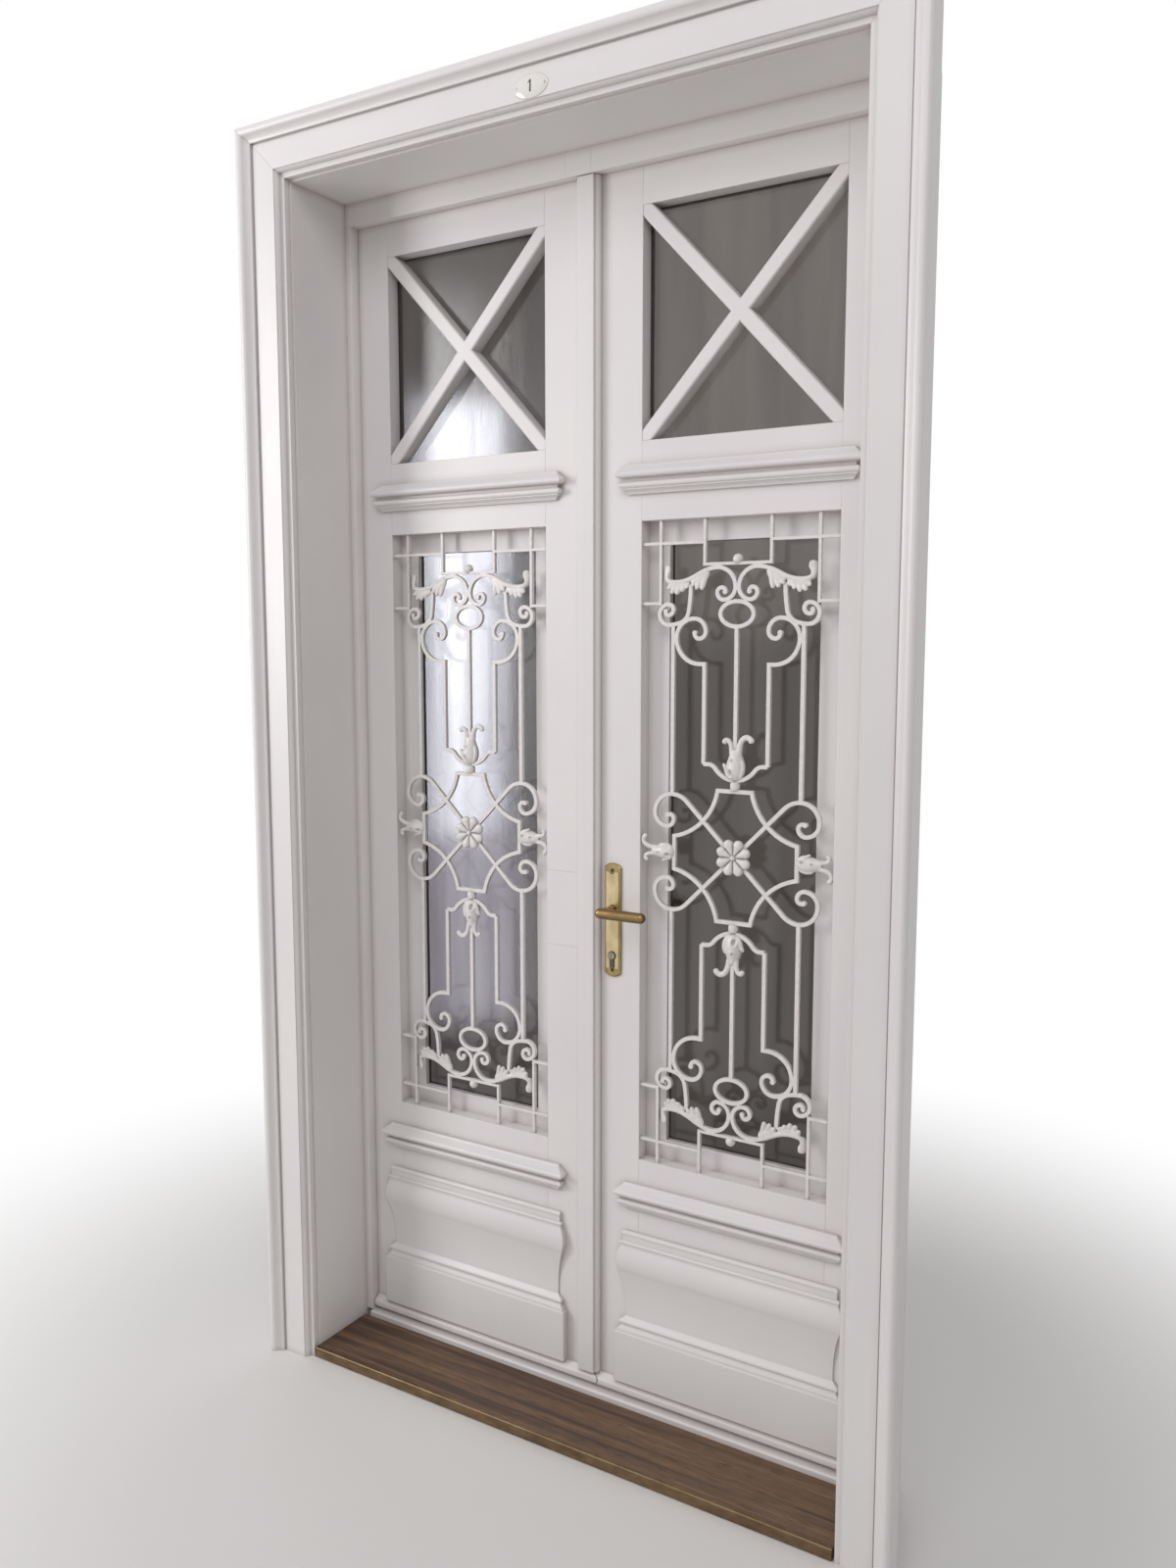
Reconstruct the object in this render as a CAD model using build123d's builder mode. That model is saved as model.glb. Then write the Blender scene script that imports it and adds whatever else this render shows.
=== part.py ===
from build123d import *
from math import atan, degrees, sin, sqrt
import os

os.makedirs("parts", exist_ok=True)

# A pair of glazed french doors in a lined and cased frame, in millimetres.
# X runs across the doorway, Y goes through it away from the cased side, Z is up.
# The origin is on the floor, under the meeting line, in the plane of the leaves' face.

# Doorway and frame
clear_half = 605.0        # centre line to the front lip of a jamb
clear_top = 2540.0        # floor to the front lip of the head
lip_cover = 18.0          # how far the lip stands in front of the rebate
lip_depth = 23.0          # thickness of the lip, in front of the leaves
lip_gap = 0.5             # lip to the closed leaf, where the draught seal runs
jamb_width = 60.0         # lip edge to the back of the jamb
head_height = 65.0        # lip edge to the top of the head
leaf_thickness = 58.0
edge_gap = 3.0            # leaf edge to the rebate at the hinges and the head
sill_top = 37.0
sill_front = 32.0         # how far the sill stands in front of the leaves' face
foot_gap = 4.0            # leaf bottom above the sill
fixing_radius = 4.0       # screw holes through each jamb into the wall
fixing_heights = (700.0, 1900.0)

# Lining and threshold
reveal_depth = 187.0      # leaf face to the wall plane
lip_shown = 17.0          # breadth of the jamb's lip that the lining leaves in view
head_shown = 48.0         # the same at the head
lining_thick = 18.0
board_thick = 24.0        # threshold board
board_nose = 12.0         # how far the board runs past the wall plane
nosing_thick = 3.0        # metal edging on the board's front
nosing_drop = 22.0
nosing_lap = 6.0          # its narrow top flange

# Casing, measured outwards from its inner edge
casing_width = 109.0
casing_step = 5.0         # lining left bare inside the casing
casing_inner = 14.0       # thickness at the inner edge
casing_fascia = 28.0
casing_outer = 48.0
bead_end = 17.0
band_start = 74.0

# Number plate
plate_wide = 72.0
plate_high = 42.0
plate_rim = 1.2
plate_thick = 5.0
plate_slope = 9.0         # width of the sloping edge round its flat middle
plate_margin = 1.0        # plate above the casing's inner bead
plate_screw_radius = 2.6
plate_screw_span = 60.0

# Leaves
meeting_front = 5.0       # bevelled meeting edges: half the gap at the face
meeting_back = 2.0        # and at the back
window_in = 113.0         # centre line to the openings' inner side
hinge_stile_wide = 97.0
top_rail_high = 86.0
window_high = 441.0
frieze_high = 154.5
base_high = 523.5
rebate_face = 33.0        # leaf face to the glazing rebate
rebate_lap = 12.0
pane_thick = 4.0
bead_depth = 13.0
sash_depth = 22.0
sash_side = 47.0
sash_rail = 41.0
sash_nib = 12.0           # thickness of the sash in front of its pane
sash_rebate = 8.0
saltire_width = 29.0
saltire_chamfer = 2.5

# Planted mouldings
moulding_lap_in = 49.0    # tips beyond the opening, at the meeting stile
moulding_lap_out = 44.0   # and at the hinge stile
upper_moulding_above = 51.5
lower_moulding_below = 53.5
base_moulding_gap = 0.5   # between the weather moulding and the base moulding
base_flare = 1.5          # sideways reach of the base moulding's ends for its relief
weather_gap = 1.5         # weather moulding's end to the jamb's lip
face_play = 0.8           # parts of the passive leaf ahead of the active leaf's face
scarf_front = 23.25       # where the two weather mouldings meet, at their front
scarf_half_gap = 1.25
scarf_slope = 1.28        # sideways run of that joint for its depth

# Astragal
astragal_left = 25.0
astragal_right = 22.0
astragal_flat = 14.0
astragal_deep = 20.0

# Grille: its head is measured from the ring's centre, its heart from the opening's centre
grille_front = 4.0        # leaf face to the bars
bar = 8.0
bar_deep = 8.0
fine_bar = 6.0
outer_rail_in = 40.5      # outer thin uprights from the opening's side
inner_rail_x = 69.0
ring_down = 183.5         # ring's centre below the opening's top
cross_up = 138.0          # upper cross bar above that centre
low_cross_up = 22.0
tie_up = 95.5
ball_radius = 10.0
ball_sink = 2.0
ring_wide = 77.0
ring_tall = 56.0
stem_x = 136.0
stem_down = 21.0          # top of the outer uprights below the ring's centre
spiral_top = 117.0
post_x = 67.5
post_down = 96.0          # top of the inner uprights below the ring's centre
cup_shoulder = 180.5
cup_ledge = 9.5
cup_bottom = 151.0
cup_round = 20.0
medallion_top = 129.5
medallion_top_half = 36.0
medallion_side = 130.5
medallion_side_half = 33.0
medallion_waist = 67.5
collar_radius = 9.0
tulip_long = 54.0
tulip_wide = 32.0
petal_reach = 27.0
petal_long = 87.0
petal_thick = 6.0
side_tulip = 0.83         # the sideways tulips, against the upright ones
rosette_petals = 8
petal_inner = 4.0
petal_outer = 37.0
petal_half = 9.5
petal_rise = 7.0
petal_slope = 3.5         # how far a petal's sides lean in
boss_radius = 6.0
boss_rise = 3.0

# Hinges
hinge_inset = 209.0       # middle of the end hinges from the leaf's ends
wing_long = 70.0
wing_thick = 2.5
wing_deep = 30.0
knuckle_radius = 7.3
pin_radius = 4.5
pin_play = 0.05
knuckle_gap = 0.3

# Lock and its furniture
lock_x = 51.0             # centre line to the spindle and the cylinder
spindle_z = 1090.0
cylinder_below = 98.0     # cylinder's centre below the spindle
lock_deep = 15.0
case_reach = 34.0         # case behind the spindle
case_below = 45.0         # case below the cylinder's centre
case_above = 60.0         # case above the spindle
forend_thick = 3.0
forend_wide = 20.0
forend_long = 240.0
forend_sink = 0.8         # forend and strike below the bevelled edge
bolt_play = 0.3
latch_above = 26.0        # latch above the spindle
latch_high = 20.0
latch_long = 34.0
latch_throw = 11.0
dead_below = 49.0         # dead bolt below the spindle
dead_high = 30.0
dead_long = 38.0
dead_throw = 20.0
bolt_deep = 9.0
backplate_wide = 38.0
backplate_above = 95.0    # plate's top above the spindle
backplate_long = 238.0
backplate_arch = 8.0
backplate_thick = 5.0
screw_inset = 14.5
screw_radius = 4.2
screw_sunk = 1.2
spindle_side = 8.0
spindle_bore = 6.2
neck_radius = 8.0
neck_play = 0.1
neck_long = 50.0
lever_radius = 10.8
lever_long = 93.0
cylinder_round = 8.5
cylinder_tail = 5.0       # half the width of its lower part
cylinder_drop = 25.0
cylinder_proud = 3.0
plug_radius = 6.5
plug_play = 0.05
key_wide = 2.0
key_high = 8.0
strike_thick = 2.0

# Flush bolts of the passive leaf
flush_x = 20.0
flush_radius = 5.0
flush_play = 0.25
flush_long = 300.0
flush_inset = 1.0
flush_throw = 18.0
flush_tab = 20.0
flush_tab_wide = 5.0
flush_tab_from_end = 250.0
keep_thick = 2.0
keep_wide = 22.0
keep_long = 50.0
keep_bore = 6.0
stretch_past = 30.0       # wood past a bolt's socket in its stretch of a long member

# Places that follow from these sizes
rebate_half = clear_half + lip_cover
rebate_top = clear_top + lip_cover
frame_half = clear_half + jamb_width
frame_top = clear_top + head_height
lining_half = clear_half + lip_shown
lining_top = clear_top + head_shown
casing_edge = lining_half + casing_step
casing_top = lining_top + casing_step
fascia_face = -reveal_depth - casing_fascia
plate_rise = casing_top + bead_end + plate_margin + plate_high / 2

leaf_edge = rebate_half - edge_gap
leaf_top = rebate_top - edge_gap
leaf_foot = sill_top + foot_gap
leaf_middle = leaf_thickness / 2
window_out = leaf_edge - hinge_stile_wide
window_top = leaf_top - top_rail_high
window_base = window_top - window_high
grille_top = window_base - frieze_high
grille_base = leaf_foot + base_high
window_mid = (window_in + window_out) / 2
window_wide = window_out - window_in
upper_mid = (window_top + window_base) / 2
moulding_in = window_in - moulding_lap_in
moulding_out = window_out + moulding_lap_out
weather_out = clear_half - weather_gap

grille_mid = (grille_top + grille_base) / 2
grille_half = (grille_top - grille_base) / 2
ring_high = grille_half - ring_down
tie_high = ring_high + tie_up
grille_plane = Plane(
    origin=(window_mid, grille_front + bar_deep, grille_mid), x_dir=(1, 0, 0), z_dir=(0, -1, 0)
)

hinge_x = rebate_half - edge_gap / 2
hinge_y = leaf_thickness + knuckle_radius + 0.2
hinge_heights = (leaf_foot + hinge_inset, (leaf_foot + leaf_top) / 2, leaf_top - hinge_inset)

cylinder_z = spindle_z - cylinder_below
latch_z = spindle_z + latch_above
dead_z = spindle_z - dead_below
case_low = cylinder_z - case_below
case_high = spindle_z + case_above
case_back = lock_x + case_reach
forend_low = (case_low + case_high - forend_long) / 2
forend_high = forend_low + forend_long
backplate_high = spindle_z + backplate_above
backplate_low = backplate_high - backplate_long

# Profiles as steps of (projection, height): two numbers end a straight run,
# four give the middle and the end of an arc.
rail_profile = (
    (0, 0), (5, 0), (8, 6, 14, 9), (14, 12), (18.5, 18, 14, 24), (11, 24), (11, 30),
    (20, 32), (24.5, 38, 20, 45), (9, 54), (7, 58), (0, 58),
)
base_profile = (
    (0, 0), (17, 0), (17, 111), (14, 113), (14, 118), (10, 122, 9, 128), (11.5, 133, 9, 138),
    (3, 145), (4.5, 200, 11.5, 245), (15.5, 275, 9.5, 301), (9.5, 306), (11, 310, 7, 314),
    (7, 326), (8, 331, 4, 335.5), (0, 335.5),
)
weather_profile = (
    (0, 0), (13, 0), (13, 5), (18, 6), (18, 12), (17, 17, 13, 20), (3, 27), (0, 27),
)
weather_high = weather_profile[-1][-1]
weather_deep = max(step[0] for step in weather_profile)


def save(piece, name):
    """Label a finished piece and write it as a STEP file."""
    piece.part.label = name
    export_step(piece.part, f"parts/{name}.step")


def save_stretch(piece, box, name, stretch_name):
    """Write a long member with the stretch inside a box as a piece of its own."""
    with BuildPart() as rest:
        add(piece.part)
        block(*box, mode=Mode.SUBTRACT)
    with BuildPart() as stretch:
        add(piece.part)
        block(*box, mode=Mode.INTERSECT)
    save(rest, name)
    save(stretch, stretch_name)


def to_side(side):
    """Keep the right-hand piece being built, or turn it into its left-hand twin."""
    if side == "left":
        mirror(about=Plane.YZ, mode=Mode.REPLACE)


def draw_steps(steps, place):
    """Draw a moulding's profile in the open BuildLine; place maps projection and height."""
    here = steps[0]
    for step in steps[1:]:
        end = step[-2:]
        if len(step) == 4:
            ThreePointArc(place(*here), place(*step[:2]), place(*end))
        else:
            Line(place(*here), place(*end))
        here = end


def block(low, high, mode=Mode.ADD):
    """A plain rectangular piece of stock between two corners."""
    size = [b - a for a, b in zip(low, high)]
    middle = [(a + b) / 2 for a, b in zip(low, high)]
    with Locations(tuple(middle)):
        Box(*size, mode=mode)


def scroll(start, heading, turns, mode=Mode.ADD):
    """Tangent arcs from a start point: each turn is a radius and an angle, left turns positive."""
    for radius, angle in turns:
        arc = JernArc(start, heading, radius, angle)
        start, heading = arc @ 1, arc % 1
    return start


# Frame

def jamb(side):
    """A rebated jamb: the lip stands in front of the leaf, the body beside it."""
    with BuildPart() as piece:
        block((clear_half, -lip_depth - lip_gap, 0), (frame_half, -lip_gap, clear_top))
        block((rebate_half, -lip_gap, 0), (frame_half, leaf_thickness, rebate_top))
        block(
            (clear_half, -sill_front, 0), (rebate_half, leaf_thickness, sill_top), mode=Mode.SUBTRACT
        )
        with Locations(*[(frame_half, leaf_middle, z) for z in fixing_heights]):
            Cylinder(
                fixing_radius, 3 * jamb_width, rotation=(0, 90, 0), mode=Mode.SUBTRACT
            )
        for z in hinge_heights:
            block(
                (rebate_half, leaf_thickness - wing_deep, z - wing_long),
                (rebate_half + wing_thick, leaf_thickness, z - knuckle_gap / 2),
                mode=Mode.SUBTRACT,
            )
        to_side(side)
    save(piece, f"jamb_{side}")


def frame_head():
    """The head of the frame, over both jambs, its middle stretch holding the top bolt's socket."""
    with BuildPart() as piece:
        block((-frame_half, -lip_depth - lip_gap, clear_top), (frame_half, -lip_gap, frame_top))
        block((-frame_half, -lip_gap, rebate_top), (frame_half, leaf_thickness, frame_top))
        block(
            (-flush_x - keep_wide / 2, leaf_middle - keep_long / 4, rebate_top),
            (-flush_x + keep_wide / 2, leaf_middle + keep_long / 4, rebate_top + keep_thick),
            mode=Mode.SUBTRACT,
        )
        with Locations((-flush_x, leaf_middle, rebate_top)):
            Cylinder(
                keep_bore, flush_throw, align=(Align.CENTER, Align.CENTER, Align.MIN),
                mode=Mode.SUBTRACT,
            )
    middle = (
        (-flush_x - stretch_past, -lip_depth - lip_gap, clear_top),
        (-flush_x + stretch_past, leaf_thickness, frame_top),
    )
    save_stretch(piece, middle, "frame_head", "frame_head_middle")


def sill():
    """The low white strip under the leaves, with a socket for the bottom bolt."""
    with BuildPart() as piece:
        block((-clear_half, -sill_front, 0), (clear_half, leaf_thickness, sill_top))
        block((clear_half, -lip_gap, 0), (rebate_half, leaf_thickness, sill_top))
        block((-rebate_half, -lip_gap, 0), (-clear_half, leaf_thickness, sill_top))
        top_front = piece.edges().filter_by(Axis.X).group_by(Axis.Y)[0].sort_by(Axis.Z)[-1]
        fillet(top_front, radius=4)
        block(
            (-flush_x - keep_wide / 2, leaf_middle - keep_long / 4, sill_top - keep_thick),
            (-flush_x + keep_wide / 2, leaf_middle + keep_long / 4, sill_top),
            mode=Mode.SUBTRACT,
        )
        with Locations((-flush_x, leaf_middle, sill_top)):
            Cylinder(
                keep_bore, flush_throw, align=(Align.CENTER, Align.CENTER, Align.MAX),
                mode=Mode.SUBTRACT,
            )
    save(piece, "sill")


def bolt_keeps():
    """The two small plates that the flush bolts pass through."""
    with BuildPart() as piece:
        for low in (rebate_top, sill_top - keep_thick):
            block(
                (-flush_x - keep_wide / 2, leaf_middle - keep_long / 4, low),
                (-flush_x + keep_wide / 2, leaf_middle + keep_long / 4, low + keep_thick),
            )
            with Locations((-flush_x, leaf_middle, low + keep_thick / 2)):
                Cylinder(keep_bore, 2 * keep_thick, mode=Mode.SUBTRACT)
    save(piece, "bolt_keeps")


def lining(side):
    """A flat board that clads one side of the wall's reveal."""
    with BuildPart() as piece:
        block(
            (lining_half, -reveal_depth, 0),
            (lining_half + lining_thick, -lip_depth - lip_gap, lining_top),
        )
        to_side(side)
    save(piece, f"lining_{side}")


def lining_head():
    """The board that clads the top of the reveal, over the two side boards."""
    outer = lining_half + lining_thick
    with BuildPart() as piece:
        block(
            (-outer, -reveal_depth, lining_top),
            (outer, -lip_depth - lip_gap, lining_top + lining_thick),
        )
    save(piece, "lining_head")


def casing_outline(place):
    """The casing's section, inner edge first: bead, flat fascia, quirk and ogee back band."""
    Line(place(0, 0), place(0, casing_inner))
    Line(place(0, casing_inner), place(bead_end - 6, casing_inner))
    ThreePointArc(
        place(bead_end - 6, casing_inner),
        place(bead_end - 4.5, casing_fascia - 7),
        place(bead_end, casing_fascia - 2),
    )
    Line(place(bead_end, casing_fascia - 2), place(bead_end, casing_fascia))
    Line(place(bead_end, casing_fascia), place(band_start, casing_fascia))
    Line(place(band_start, casing_fascia), place(band_start, casing_fascia - 2))
    Line(place(band_start, casing_fascia - 2), place(band_start + 3, casing_fascia - 2))
    Line(place(band_start + 3, casing_fascia - 2), place(band_start + 3, casing_fascia + 5))
    ThreePointArc(
        place(band_start + 3, casing_fascia + 5),
        place(band_start + 11, casing_fascia + 8.5),
        place(band_start + 17, casing_outer - 4),
    )
    ThreePointArc(
        place(band_start + 17, casing_outer - 4),
        place(casing_width - 9, casing_outer),
        place(casing_width, casing_outer - 6),
    )
    Line(place(casing_width, casing_outer - 6), place(casing_width, 0))
    Line(place(casing_width, 0), place(0, 0))


def casing(side):
    """One upright of the casing, mitred under the head."""
    with BuildPart() as piece:
        with BuildSketch(Plane.XY):
            with BuildLine():
                casing_outline(lambda out, rise: (casing_edge + out, -reveal_depth - rise))
            make_face()
        extrude(amount=casing_top + casing_width)
        corner = Plane(
            origin=(casing_edge, 0, casing_top), x_dir=(0, 1, 0), z_dir=(-1, 0, 1)
        )
        split(bisect_by=corner, keep=Keep.BOTTOM)
        to_side(side)
    save(piece, f"casing_{side}")


def casing_head():
    """The head of the casing, mitred at both ends."""
    reach = casing_edge + casing_width
    with BuildPart() as piece:
        with BuildSketch(Plane.YZ.offset(-reach)):
            with BuildLine():
                casing_outline(lambda out, rise: (-reveal_depth - rise, casing_top + out))
            make_face()
        extrude(amount=2 * reach)
        for hand in (1, -1):
            corner = Plane(
                origin=(hand * casing_edge, 0, casing_top), x_dir=(0, 1, 0), z_dir=(-hand, 0, 1)
            )
            split(bisect_by=corner, keep=Keep.TOP)
    save(piece, "casing_head")


def threshold():
    """The dark board between sill and wall plane, and the metal nosing on its front."""
    front = -reveal_depth - board_nose
    with BuildPart() as board:
        block((-lining_half, front, 0), (lining_half, -sill_front, board_thick))
        block(
            (-casing_edge, front, 0), (casing_edge, -reveal_depth, board_thick)
        )
        block(
            (-lining_half, front, board_thick - nosing_thick),
            (lining_half, front + nosing_lap, board_thick),
            mode=Mode.SUBTRACT,
        )
    with BuildPart() as trimmed:
        add(board.part)
        for hand in (1, -1):
            low, high = sorted((hand * clear_half, hand * (lining_half + 1)))
            block((low, -lip_depth - lip_gap, 0), (high, 0, board_thick), mode=Mode.SUBTRACT)
            low, high = sorted((hand * lining_half, hand * (casing_edge + 1)))
            block((low, front, 0), (high, 0, board_thick), mode=Mode.SUBTRACT)
    save(trimmed, "threshold_board")
    with BuildPart() as nosing:
        block(
            (-lining_half, front - nosing_thick, board_thick - nosing_drop),
            (lining_half, front, board_thick),
        )
        block(
            (-lining_half, front, board_thick - nosing_thick),
            (lining_half, front + nosing_lap, board_thick),
        )
        nose = nosing.edges().filter_by(Axis.X).group_by(Axis.Y)[0].sort_by(Axis.Z)[-1]
        fillet(nose, radius=nosing_thick * 0.8)
    save(nosing, "threshold_nosing")


def number_plate():
    """The raised oval enamel plate with its two screw heads."""
    face = Plane(origin=(0, fascia_face, plate_rise), x_dir=(1, 0, 0), z_dir=(0, -1, 0))
    with BuildPart() as piece:
        with BuildSketch(face):
            Ellipse(plate_wide / 2, plate_high / 2)
        extrude(amount=plate_rim)
        with BuildSketch(face.offset(plate_rim)):
            Ellipse(plate_wide / 2, plate_high / 2)
        with BuildSketch(face.offset(plate_thick)):
            Ellipse(plate_wide / 2 - plate_slope, plate_high / 2 - plate_slope)
        loft()
        with BuildSketch(face):
            with GridLocations(plate_screw_span, 1, 2, 1):
                Circle(plate_screw_radius)
        extrude(amount=plate_thick * 0.9)
    save(piece, "number_plate")


# Hinges

def hinge_halves(side):
    """Lift-off hinges: a lower half with its pin on the jamb, an upper half on the leaf."""
    half_gap = knuckle_gap / 2
    with BuildPart() as lower:
        for z in hinge_heights:
            block(
                (rebate_half, leaf_thickness - wing_deep, z - wing_long),
                (rebate_half + wing_thick, hinge_y, z - half_gap),
            )
            with BuildSketch(Plane.XY.offset(z - wing_long)):
                with Locations((hinge_x, hinge_y)):
                    Circle(knuckle_radius)
            extrude(amount=wing_long - half_gap)
            with BuildSketch(Plane.XY.offset(z - half_gap)):
                with Locations((hinge_x, hinge_y)):
                    Circle(pin_radius)
            extrude(amount=wing_long * 0.9)
        to_side(side)
    save(lower, f"frame_hinges_{side}")
    with BuildPart() as upper:
        for z in hinge_heights:
            block(
                (leaf_edge - wing_thick, leaf_thickness - wing_deep, z + half_gap),
                (leaf_edge, hinge_y, z + wing_long),
            )
            with BuildSketch(Plane.XY.offset(z + half_gap)):
                with Locations((hinge_x, hinge_y)):
                    Circle(knuckle_radius)
            extrude(amount=wing_long - half_gap)
            with BuildSketch(Plane.XY.offset(z + half_gap)):
                with Locations((hinge_x, hinge_y)):
                    Circle(pin_radius + pin_play)
            extrude(amount=wing_long * 0.92, mode=Mode.SUBTRACT)
        to_side(side)
    save(upper, f"leaf_hinges_{side}")


# Leaves

def cut_rebates():
    """Take the glazing rebates of both openings out of the member being built."""
    for low, high in ((window_base, window_top), (grille_base, grille_top)):
        block(
            (window_in - rebate_lap, rebate_face, low - rebate_lap),
            (window_out + rebate_lap, leaf_thickness, high + rebate_lap),
            mode=Mode.SUBTRACT,
        )


def hinge_stile(side):
    """The stile at the jamb, let in for the hinge wings."""
    with BuildPart() as piece:
        block((window_out, 0, leaf_foot), (leaf_edge, leaf_thickness, leaf_top))
        cut_rebates()
        for z in hinge_heights:
            block(
                (leaf_edge - wing_thick, leaf_thickness - wing_deep, z + knuckle_gap / 2),
                (leaf_edge, leaf_thickness, z + wing_long),
                mode=Mode.SUBTRACT,
            )
        to_side(side)
    save(piece, f"{side}_hinge_stile")


def meeting_blank():
    """The bevelled meeting stile before any ironmongery is let into it."""
    with BuildPart() as piece:
        with BuildSketch(Plane.XY.offset(leaf_foot)):
            with BuildLine():
                Polyline(
                    (meeting_front, 0), (window_in, 0), (window_in, leaf_thickness),
                    (meeting_back, leaf_thickness), close=True,
                )
            make_face()
        extrude(amount=leaf_top - leaf_foot)
        cut_rebates()
    return piece.part


def edge_at(depth):
    """Distance of the bevelled meeting edge from the centre line at a depth behind the face."""
    return meeting_front + (meeting_back - meeting_front) * depth / leaf_thickness


def cylinder_section(grow):
    """The profile cylinder's keyhole section, round above and narrow below."""
    with BuildSketch(Plane(origin=(lock_x, 0, cylinder_z), x_dir=(1, 0, 0), z_dir=(0, -1, 0))) as s:
        Circle(cylinder_round + grow)
        with Locations((0, -cylinder_drop / 2)):
            Rectangle(2 * (cylinder_tail + grow), cylinder_drop + 2 * grow)
    return s.sketch


def right_meeting_stile():
    """The active leaf's meeting stile with the lock's pocket, spindle bore and cylinder hole."""
    seat = edge_at(leaf_middle) + forend_sink
    with BuildPart() as piece:
        add(meeting_blank())
        block(
            (0, leaf_middle - forend_wide / 2, forend_low),
            (seat + forend_thick, leaf_middle + forend_wide / 2, forend_high),
            mode=Mode.SUBTRACT,
        )
        block(
            (0, leaf_middle - lock_deep / 2, case_low),
            (case_back, leaf_middle + lock_deep / 2, case_high),
            mode=Mode.SUBTRACT,
        )
        with Locations((lock_x, leaf_middle, spindle_z)):
            Cylinder(
                neck_radius + neck_play, 2 * leaf_thickness, rotation=(90, 0, 0),
                mode=Mode.SUBTRACT,
            )
        extrude(
            cylinder_section(0.1), amount=2 * leaf_thickness, both=True, mode=Mode.SUBTRACT
        )
    save(piece, "right_meeting_stile")


def flush_slot(z_low, z_high):
    """Bore of one flush bolt, cut into the left stile."""
    with Locations((-flush_x, leaf_middle, z_low)):
        Cylinder(
            flush_radius + flush_play, z_high - z_low,
            align=(Align.CENTER, Align.CENTER, Align.MIN), mode=Mode.SUBTRACT,
        )


def left_meeting_stile():
    """The passive leaf's meeting stile with the strike's seat and the flush bolts' channels."""
    top_end = leaf_top - flush_inset
    low_end = leaf_foot + flush_inset
    slot_half = flush_tab_wide / 2 + flush_play
    with BuildPart() as piece:
        add(mirror(meeting_blank(), about=Plane.YZ, mode=Mode.PRIVATE))
        flush_slot(top_end - flush_long - 1, leaf_top)
        flush_slot(leaf_foot, low_end + flush_long + 1)
        top_tab = top_end - flush_tab_from_end
        low_tab = low_end + flush_tab_from_end
        for low, high in (
            (top_tab - 1, top_tab + flush_tab + flush_throw + 1),
            (low_tab - flush_tab - flush_throw - 1, low_tab + 1),
        ):
            block(
                (-flush_x, leaf_middle - slot_half, low),
                (0, leaf_middle + slot_half, high),
                mode=Mode.SUBTRACT,
            )
        cut_strike()
    at_lock = (
        (-window_in, 0, dead_z - dead_high / 2 - stretch_past),
        (0, leaf_thickness, latch_z + latch_high / 2 + stretch_past),
    )
    save_stretch(piece, at_lock, "left_meeting_stile", "left_stile_at_lock")


def strike_window(z, high, throw):
    """Low and high corner of the pocket that one lock bolt enters."""
    half = bolt_deep / 2 + 1.0
    return (
        (-throw - 3, leaf_middle - half, z - high / 2 - 1.0),
        (0, leaf_middle + half, z + high / 2 + 1.0),
    )


def cut_strike():
    """Seat of the strike plate and the two pockets behind it."""
    seat = edge_at(leaf_middle) + forend_sink
    block(
        (-seat - strike_thick, leaf_middle - forend_wide / 2, forend_low),
        (0, leaf_middle + forend_wide / 2, forend_high),
        mode=Mode.SUBTRACT,
    )
    block(*strike_window(latch_z, latch_high, latch_throw), mode=Mode.SUBTRACT)
    block(*strike_window(dead_z, dead_high, dead_throw), mode=Mode.SUBTRACT)


def strike_plate():
    """The plate in the passive leaf's edge that the latch and the dead bolt pass through."""
    seat = edge_at(leaf_middle) + forend_sink
    with BuildPart() as piece:
        block(
            (-seat - strike_thick, leaf_middle - forend_wide / 2, forend_low),
            (-seat, leaf_middle + forend_wide / 2, forend_high),
        )
        block(*strike_window(latch_z, latch_high, latch_throw), mode=Mode.SUBTRACT)
        block(*strike_window(dead_z, dead_high, dead_throw), mode=Mode.SUBTRACT)
    save(piece, "strike_plate")


def rails(side):
    """Top rail, the rail between the two openings, and the solid base of the leaf."""
    spans = (
        ("top_rail", window_top, leaf_top),
        ("frieze_rail", grille_top, window_base),
        ("base_panel", leaf_foot, grille_base),
    )
    for name, low, high in spans:
        with BuildPart() as piece:
            block((window_in, 0, low), (window_out, leaf_thickness, high))
            cut_rebates()
            to_side(side)
        save(piece, f"{side}_{name}")


def planted_moulding(steps, z_low, flare):
    """A moulding with returned ends: its run along the leaf cut to the same profile sideways."""
    deepest = max(step[-2] for step in steps) + 10
    top = steps[-1][1]
    reach = moulding_out - moulding_in
    tip = max(max(step[i] for i in range(0, len(step), 2)) for step in steps) * flare
    low_x, high_x = moulding_in + tip, moulding_out - tip
    with BuildPart() as piece:
        with BuildSketch(Plane.YZ.offset(moulding_in - deepest)):
            with BuildLine():
                draw_steps(steps, lambda out, up: (-out, z_low + up))
                Line((0, z_low + top), (0, z_low))
            make_face()
        extrude(amount=reach + 2 * deepest)
        with BuildSketch(Plane.XZ):
            with BuildLine():
                draw_steps(steps, lambda out, up: (high_x + flare * out, z_low + up))
                Line((high_x, z_low + top), (low_x, z_low + top))
                draw_steps(steps, lambda out, up: (low_x - flare * out, z_low + up))
                Line((low_x, z_low), (high_x, z_low))
            make_face()
        extrude(amount=deepest, mode=Mode.INTERSECT)
    return piece.part


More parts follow.
